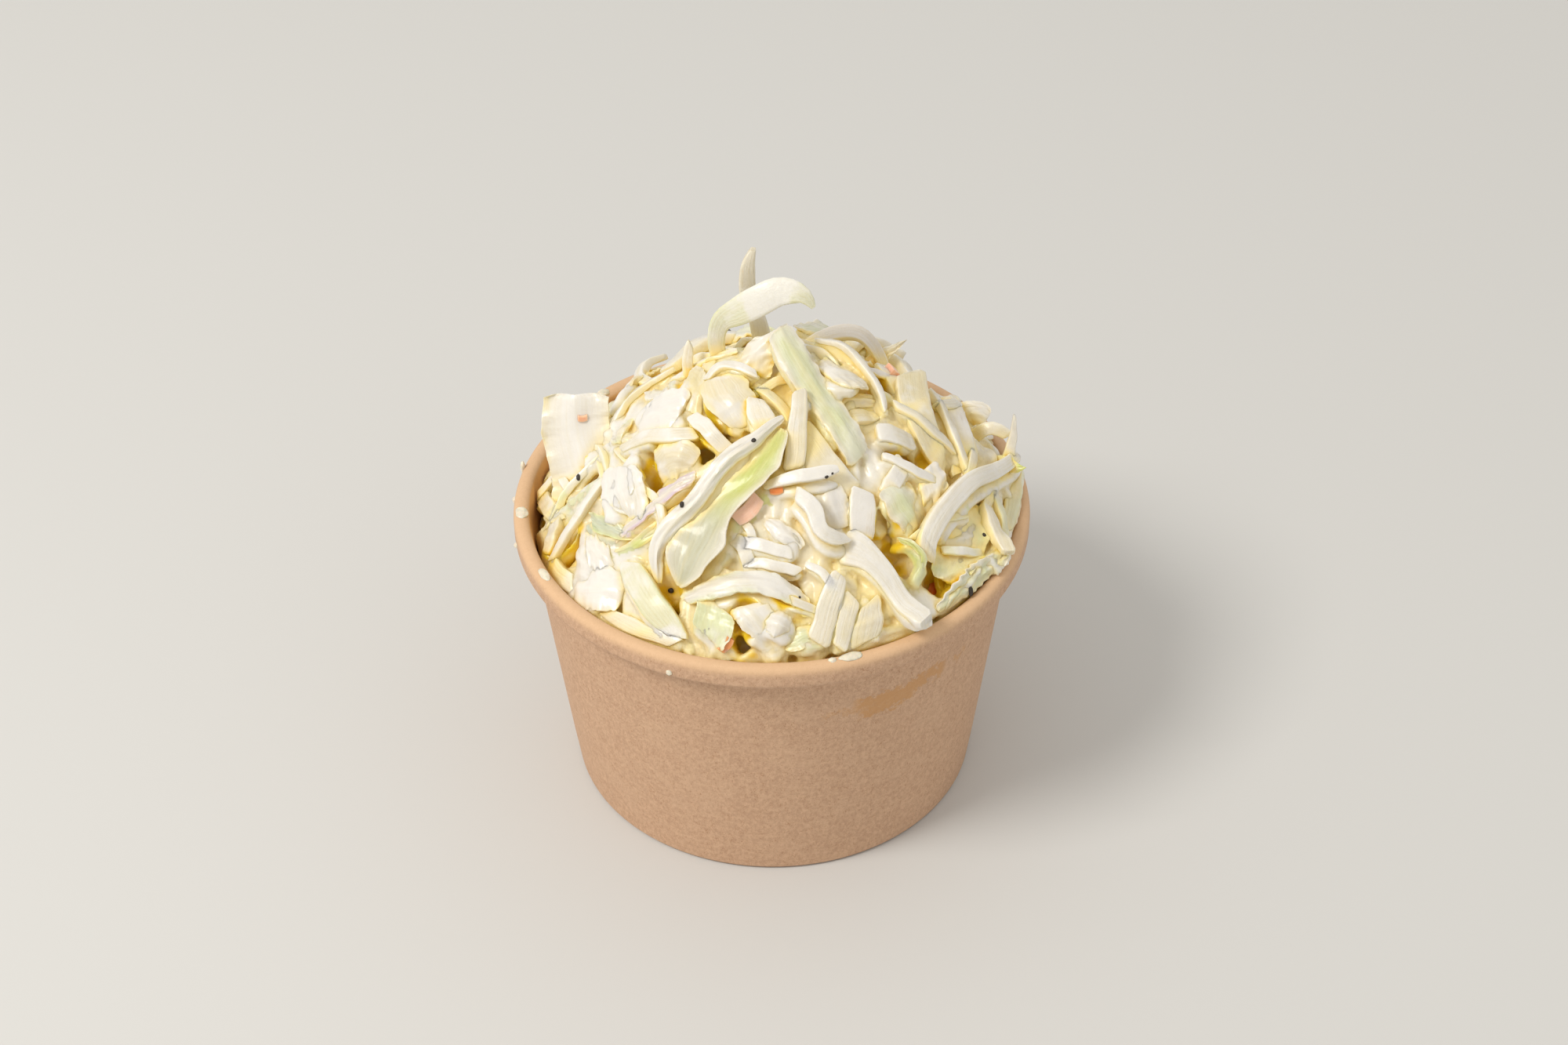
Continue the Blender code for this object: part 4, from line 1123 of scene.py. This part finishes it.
def make_cabbage_group():
    """Cabbage under dressing: its own tint with fine streaks, white dressing in patches, amber in the hollows.

    Warm yellow in the creases and amber in the most closed-in places are painted shade; the amber in the hollows is
    partly pooled dressing and partly painted shade.
    """
    inputs = dict.fromkeys(("PaintedShade", "PitAmberAndShade", "Dressed", "Cover", "Coverage"), "value")
    inputs.update(Tint="colour", Grain="vector", Place="vector")
    outputs = {"Colour": "colour", "Height": "value", "Dressing": "value"}
    tree, nodes, group_input, out = new_group("cabbage_and_dressing", inputs, outputs)
    given = group_input.outputs
    streaks = nodes.noise(nodes.scaled(given["Grain"], (0.07, 2.4, 1)), 1, 3, 0.6)
    bands = nodes.noise(nodes.scaled(given["Grain"], (0.05, 0.7, 1)), 1, 1)
    darker = nodes.mix(0.55, given["Tint"], (0.86, 0.74, 0.42), "MULTIPLY")
    leaf = nodes.mix(nodes.times(nodes.span(streaks, 0.42, 0.66), 0.4), given["Tint"], darker)
    leaf = nodes.mix(nodes.span(bands, 0.5, 0.75, 0, 0.3), leaf, (0.72, 0.655, 0.42))

    patches = nodes.noise(given["Place"], 0.16, 3, 0.55, 0.4)
    low = nodes.maths("SUBTRACT", 0.62, nodes.times(given["Coverage"], 0.3))
    low = nodes.maths("SUBTRACT", low, nodes.times(given["Dressed"], 0.4))
    dressing = nodes.span(patches, low, nodes.maths("ADD", low, 0.24))
    cover = nodes.times(dressing, nodes.times(given["Cover"], 0.85))
    colour = nodes.mix(cover, leaf, (0.77, 0.75, 0.71))

    # Painted shade: creases turn warm yellow by how closed in each point is, less where dressing lies thick, and the
    # most closed-in places turn amber.
    painted_crease_shade = nodes.maths("SUBTRACT", 0.85, nodes.times(given["Dressed"], 0.45))
    painted_crease_shade = nodes.times(nodes.span(given["PaintedShade"], 0.12, 0.55), painted_crease_shade)
    colour = nodes.mix(painted_crease_shade, colour, (0.91, 0.77, 0.38))
    colour = nodes.mix(nodes.span(given["PaintedShade"], 0.5, 0.8, 0, 0.7), colour, (0.93, 0.69, 0.15))
    # In the hollows the pits turn amber: partly pooled dressing, partly painted shade where they are closed in.
    colour = nodes.mix(given["PitAmberAndShade"], colour, (0.87, 0.60, 0.03))

    fine = nodes.noise(given["Place"], 1.1, 3, 0.6)
    height = nodes.times(streaks, nodes.maths("SUBTRACT", 1.0, nodes.times(dressing, 0.7)))
    height = nodes.maths("ADD", height, nodes.times(fine, 0.7))
    for value, socket in zip((colour, height, dressing), out.inputs):
        nodes.join(value, socket)
    return tree


def make_cabbage(name, group, coverage, bump, glow):
    """A finish for cabbage: how much dressing covers it, how high its streaks stand and how deep light goes in."""
    material, nodes, shader = new_material(name)
    finish = nodes.add("ShaderNodeGroup", node_tree=group)
    reads = {
        "Tint": ("tint", "Color"), "Cover": ("tint", "Alpha"), "Grain": ("grain", "Vector"),
        "PaintedShade": ("deep", "Fac"), "PitAmberAndShade": ("pit", "Fac"), "Dressed": ("dressed", "Fac"),
    }
    for socket, (attribute, output) in reads.items():
        nodes.join(nodes.attribute(attribute, output), finish.inputs[socket])
    nodes.join(nodes.place(), finish.inputs["Place"])
    finish.inputs["Coverage"].default_value = coverage
    nodes.join(finish.outputs["Colour"], shader.inputs["Base Color"])
    nodes.join(nodes.bump(finish.outputs["Height"], bump), shader.inputs["Normal"])
    nodes.join(nodes.span(finish.outputs["Dressing"], 0, 1, 0.44, 0.32), shader.inputs["Roughness"])
    shader.inputs["IOR"].default_value = 1.42
    shader.inputs["Subsurface Weight"].default_value = 0.8
    shader.inputs["Subsurface Radius"].default_value = (1.0, 0.98, 0.9)
    shader.inputs["Subsurface Scale"].default_value = glow
    shader.inputs["Coat Weight"].default_value = 0.35
    shader.inputs["Coat Roughness"].default_value = 0.18
    return material


def make_plain(name, colour, roughness, soft=0.0):
    material, nodes, shader = new_material(name)
    mottle = nodes.span(nodes.noise(nodes.place(), 0.8, 2), 0.3, 0.7)
    darker = tuple(part * 0.8 for part in colour)
    nodes.join(nodes.mix(mottle, darker, colour), shader.inputs["Base Color"])
    shader.inputs["Roughness"].default_value = roughness
    shader.inputs["Subsurface Weight"].default_value = soft
    shader.inputs["Subsurface Radius"].default_value = (1.0, 0.5, 0.3)
    shader.inputs["Subsurface Scale"].default_value = 1 * MM
    return material


def make_floor():
    material, nodes, shader = new_material("floor_paper")
    shader.inputs["Base Color"].default_value = (0.60, 0.60, 0.59, 1)
    shader.inputs["Roughness"].default_value = 0.8
    return material


def make_kraft():
    """Unbleached board: fine mottling, short darker fibres, pale flecks, and an oily mark under the rim.

    The rim's top carries a painted highlight; the face inside the tub is darker and more orange, partly oil from the
    slaw and partly painted shade.
    """
    material, nodes, shader = new_material("kraft_board_finish")
    place = nodes.place()
    mottle = nodes.noise(nodes.scaled(place, (1, 1, 0.8)), 1.2, 5, 0.8)
    colour = nodes.mix(nodes.span(mottle, 0.34, 0.66), (0.485, 0.30, 0.19), (0.625, 0.408, 0.265))
    # Each layer's stretch, its noise, where it starts and is full, how strong it is, and its colour.
    layers = {
        "clouds": ((1, 1, 1), (0.12, 3, 0.6), (0.45, 0.7), 0.3, (0.62, 0.415, 0.275)),
        "fibres": ((1.6, 1.6, 0.8), (1.4, 2, 0.5, 2.5), (0.58, 0.68), 0.7, (0.36, 0.18, 0.085)),
        "flecks": ((2.2, 2.2, 3.5), (1.3, 2, 0.5, 1.5), (0.62, 0.72), 0.5, (0.74, 0.52, 0.34)),
        "speckle": ((1, 1, 1), (3.2, 2, 0.6), (0.62, 0.72), 0.35, (0.33, 0.17, 0.085)),
        "scuffs": ((0.25, 0.25, 1.6), (0.6, 3, 0.6, 1.0), (0.52, 0.72), 0.22, (0.72, 0.49, 0.31)),
    }
    for stretch, grain, (start, full), strength, tint in layers.values():
        pattern = nodes.noise(nodes.scaled(place, stretch), *grain)
        colour = nodes.mix(nodes.span(pattern, start, full, 0, strength), colour, tint)
    across = nodes.add("ShaderNodeSeparateXYZ")
    nodes.join(place, across.inputs[0])
    x, y, z = across.outputs
    # Painted highlight: the top of the rim is painted lighter where light falls on it.
    crown = nodes.span(z, 57.6, 59.8)
    colour = nodes.mix(nodes.times(crown, 0.75), colour, (0.70, 0.465, 0.27))
    # The face inside the tub turns darker and more orange: partly oil from the slaw, partly painted shade.
    reach = nodes.maths("SQRT", nodes.maths("ADD", nodes.times(x, x), nodes.times(y, y)))
    slope = (NECK_RADIUS - FOOT_RADIUS) / (TUB_TOP - RIM_DEPTH)
    middle = nodes.maths("ADD", nodes.times(z, slope), (FOOT_RADIUS - BOARD / 2) / MM)
    inner_oil_and_shade = nodes.span(nodes.maths("SUBTRACT", middle, reach), 0, 0.2)
    colour = nodes.mix(nodes.times(inner_oil_and_shade, 0.8), colour, (0.66, 0.36, 0.13))

    bearing = nodes.maths("ARCTAN2", y, x)
    edge = nodes.span(nodes.noise(place, 0.6, 5, 0.75), 0.25, 0.75, -1.9, 1.9)
    stain = None
    for low, high, foot, head, lean in STAINS:
        turned = nodes.maths("SUBTRACT", bearing, math.radians(low))
        share = nodes.maths("DIVIDE", turned, math.radians(high - low))
        length = nodes.times(nodes.span(share, 0, 0.12), nodes.span(share, 1, 0.92))
        level = nodes.maths("ADD", nodes.maths("SUBTRACT", z, nodes.times(share, lean)), edge)
        band = nodes.times(nodes.span(level, foot, foot + 0.8), nodes.span(level, head, head - 0.8))
        patch = nodes.times(length, band)
        stain = patch if stain is None else nodes.maths("MAXIMUM", stain, patch)
    stain = nodes.times(stain, nodes.maths("SUBTRACT", 1.0, inner_oil_and_shade))
    colour = nodes.mix(nodes.times(stain, 0.8), colour, (0.53, 0.27, 0.095))

    nodes.join(colour, shader.inputs["Base Color"])
    nodes.join(nodes.bump(nodes.noise(place, 2.6, 3, 0.6), 0.025 * MM, 0.6), shader.inputs["Normal"])
    nodes.join(nodes.span(stain, 0, 1, 0.72, 0.5), shader.inputs["Roughness"])
    shader.inputs["IOR"].default_value = 1.4
    return material


# ---------------------------------------------------------------- the set


def camera_frame():
    """Where the camera is, and the ways that it looks, that are right and that are up for it."""
    tilt = math.radians(CAMERA_ELEVATION)
    roll = math.radians(CAMERA_ROLL)
    look = Vector((0, math.cos(tilt), -math.sin(tilt)))
    level = Vector((1, 0, 0))
    raised = level.cross(look)
    right = level * math.cos(roll) + raised * math.sin(roll)
    up = raised * math.cos(roll) - level * math.sin(roll)
    return CAMERA_TARGET - look * CAMERA_DISTANCE, look, right, up


def add_camera():
    place, look, right, up = camera_frame()
    data = bpy.data.cameras.new("camera")
    data.lens = CAMERA_LENS
    data.sensor_width = 36
    data.clip_start = 0.02
    data.clip_end = 20
    camera = bpy.data.objects.new("camera", data)
    turn = Matrix((right, up, -look)).transposed().to_4x4()
    camera.matrix_world = Matrix.Translation(place) @ turn
    SCENE.collection.objects.link(camera)
    SCENE.camera = camera


def add_light(name, place, size, power, colour):
    data = bpy.data.lights.new(name, "AREA")
    data.shape = "DISK"
    data.size = size
    data.energy = power
    data.color = colour
    light = bpy.data.objects.new(name, data)
    light.location = place
    light.rotation_euler = (Vector((0, 0, 50 * MM)) - Vector(place)).to_track_quat("-Z", "Y").to_euler()
    SCENE.collection.objects.link(light)


def add_set():
    world = bpy.data.worlds.new("studio")
    world.use_nodes = True
    backdrop = world.node_tree.nodes["Background"]
    backdrop.inputs["Color"].default_value = (1.0, 0.965, 0.905, 1)
    backdrop.inputs["Strength"].default_value = 0.77
    SCENE.world = world
    add_light("key", (-0.73, -0.46, 1.05), 0.45, 10.6, (1.0, 0.965, 0.91))
    add_light("fill", (0.9, -0.7, 0.9), 0.9, 0.4, (0.95, 0.97, 1.0))
    deselect()
    bpy.ops.mesh.primitive_plane_add(size=6, location=(0, 0, -0.2 * MM))
    floor = named("floor")
    settle(floor)
    floor.data.materials.append(make_floor())
    SCENE.view_settings.view_transform = "Standard"


# ---------------------------------------------------------------- build


def main():
    chance = random.Random(7)
    kraft = make_kraft()
    wall = model_wall()
    finish_piece(wall, kraft)
    activate(wall)
    bpy.ops.object.shade_smooth_by_angle(angle=math.radians(40))
    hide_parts("tub_wall")
    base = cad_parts["tub_base"]
    for slot in base.material_slots:
        slot.material = kraft

    filler = take_template(cut_stick("filler_stick", 10, 1))
    stick = take_template(cut_stick("rib_stick", 26, 2))
    leaf = take_template(cut_leaf("leaf_sheet", 40, 12))

    bold = [*LAID, *STANDING]
    taken = np.concatenate([route_of(shred)[0] for shred in bold])[:, :2]
    for shred in fill_shreds(340, 0.97, 0.5, 0.3, chance, (10, 27, 1.2, 3.4), -0.6):
        middle = np.array(shred["path"][1][:2]) * MM
        if np.linalg.norm(taken - middle, axis=1).min() > 2.4 * MM:
            bold.append(shred)
    spare = random.Random(11)
    mass = model_mass(filler, bold, chance, spare)
    ribs, leaves = Heap(), Heap()
    for shred in [*bold, *BEHIND]:
        draws = spare if shred in BEHIND else chance
        if shred["kind"] in ("leaf", "plate"):
            add_shred(leaves, leaf, shred, draws)
        else:
            add_shred(ribs, stick, shred, draws)
    ribs = finish_heap(ribs, "slaw_ribs")
    leaves = finish_heap(leaves, "slaw_leaves")
    tree = surface_tree([mass, ribs, leaves])
    carrots = model_carrots(tree, chance)
    peppers = model_peppers(tree, chance)
    drops = model_drops()
    shade_hollows([mass, ribs, leaves], [wall])
    # Carrots and drops take no painted shade: a low closed-in value, and no pit or thick dressing.
    for piece in (carrots, drops):
        set_values(piece.data, "deep", "FLOAT", np.full(len(piece.data.vertices), 0.1))
        for name in ("pit", "dressed"):
            set_values(piece.data, name, "FLOAT", np.zeros(len(piece.data.vertices)))

    group = make_cabbage_group()
    finish_piece(mass, make_cabbage("dressed_mass", group, 0.8, 0.12 * MM, 2 * MM))
    finish_piece(ribs, make_cabbage("cabbage_rib", group, 0.5, 0.18 * MM, 0.8 * MM))
    finish_piece(leaves, make_cabbage("cabbage_leaf", group, 0.6, 0.10 * MM, 0.5 * MM))
    finish_piece(carrots, make_cabbage("carrot", group, 0.15, 0.12 * MM, 0.8 * MM))
    finish_piece(peppers, make_plain("cracked_pepper", (0.035, 0.026, 0.02), 0.6))
    finish_piece(drops, make_plain("dressing", (0.80, 0.74, 0.60), 0.3, 0.3))
    for piece in (ribs, leaves, carrots):
        activate(piece)
        bpy.ops.object.shade_smooth_by_angle(angle=math.radians(55))
    for piece in (mass, ribs, leaves, carrots, peppers, drops):
        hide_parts("slaw")

    add_set()
    add_camera()


main()
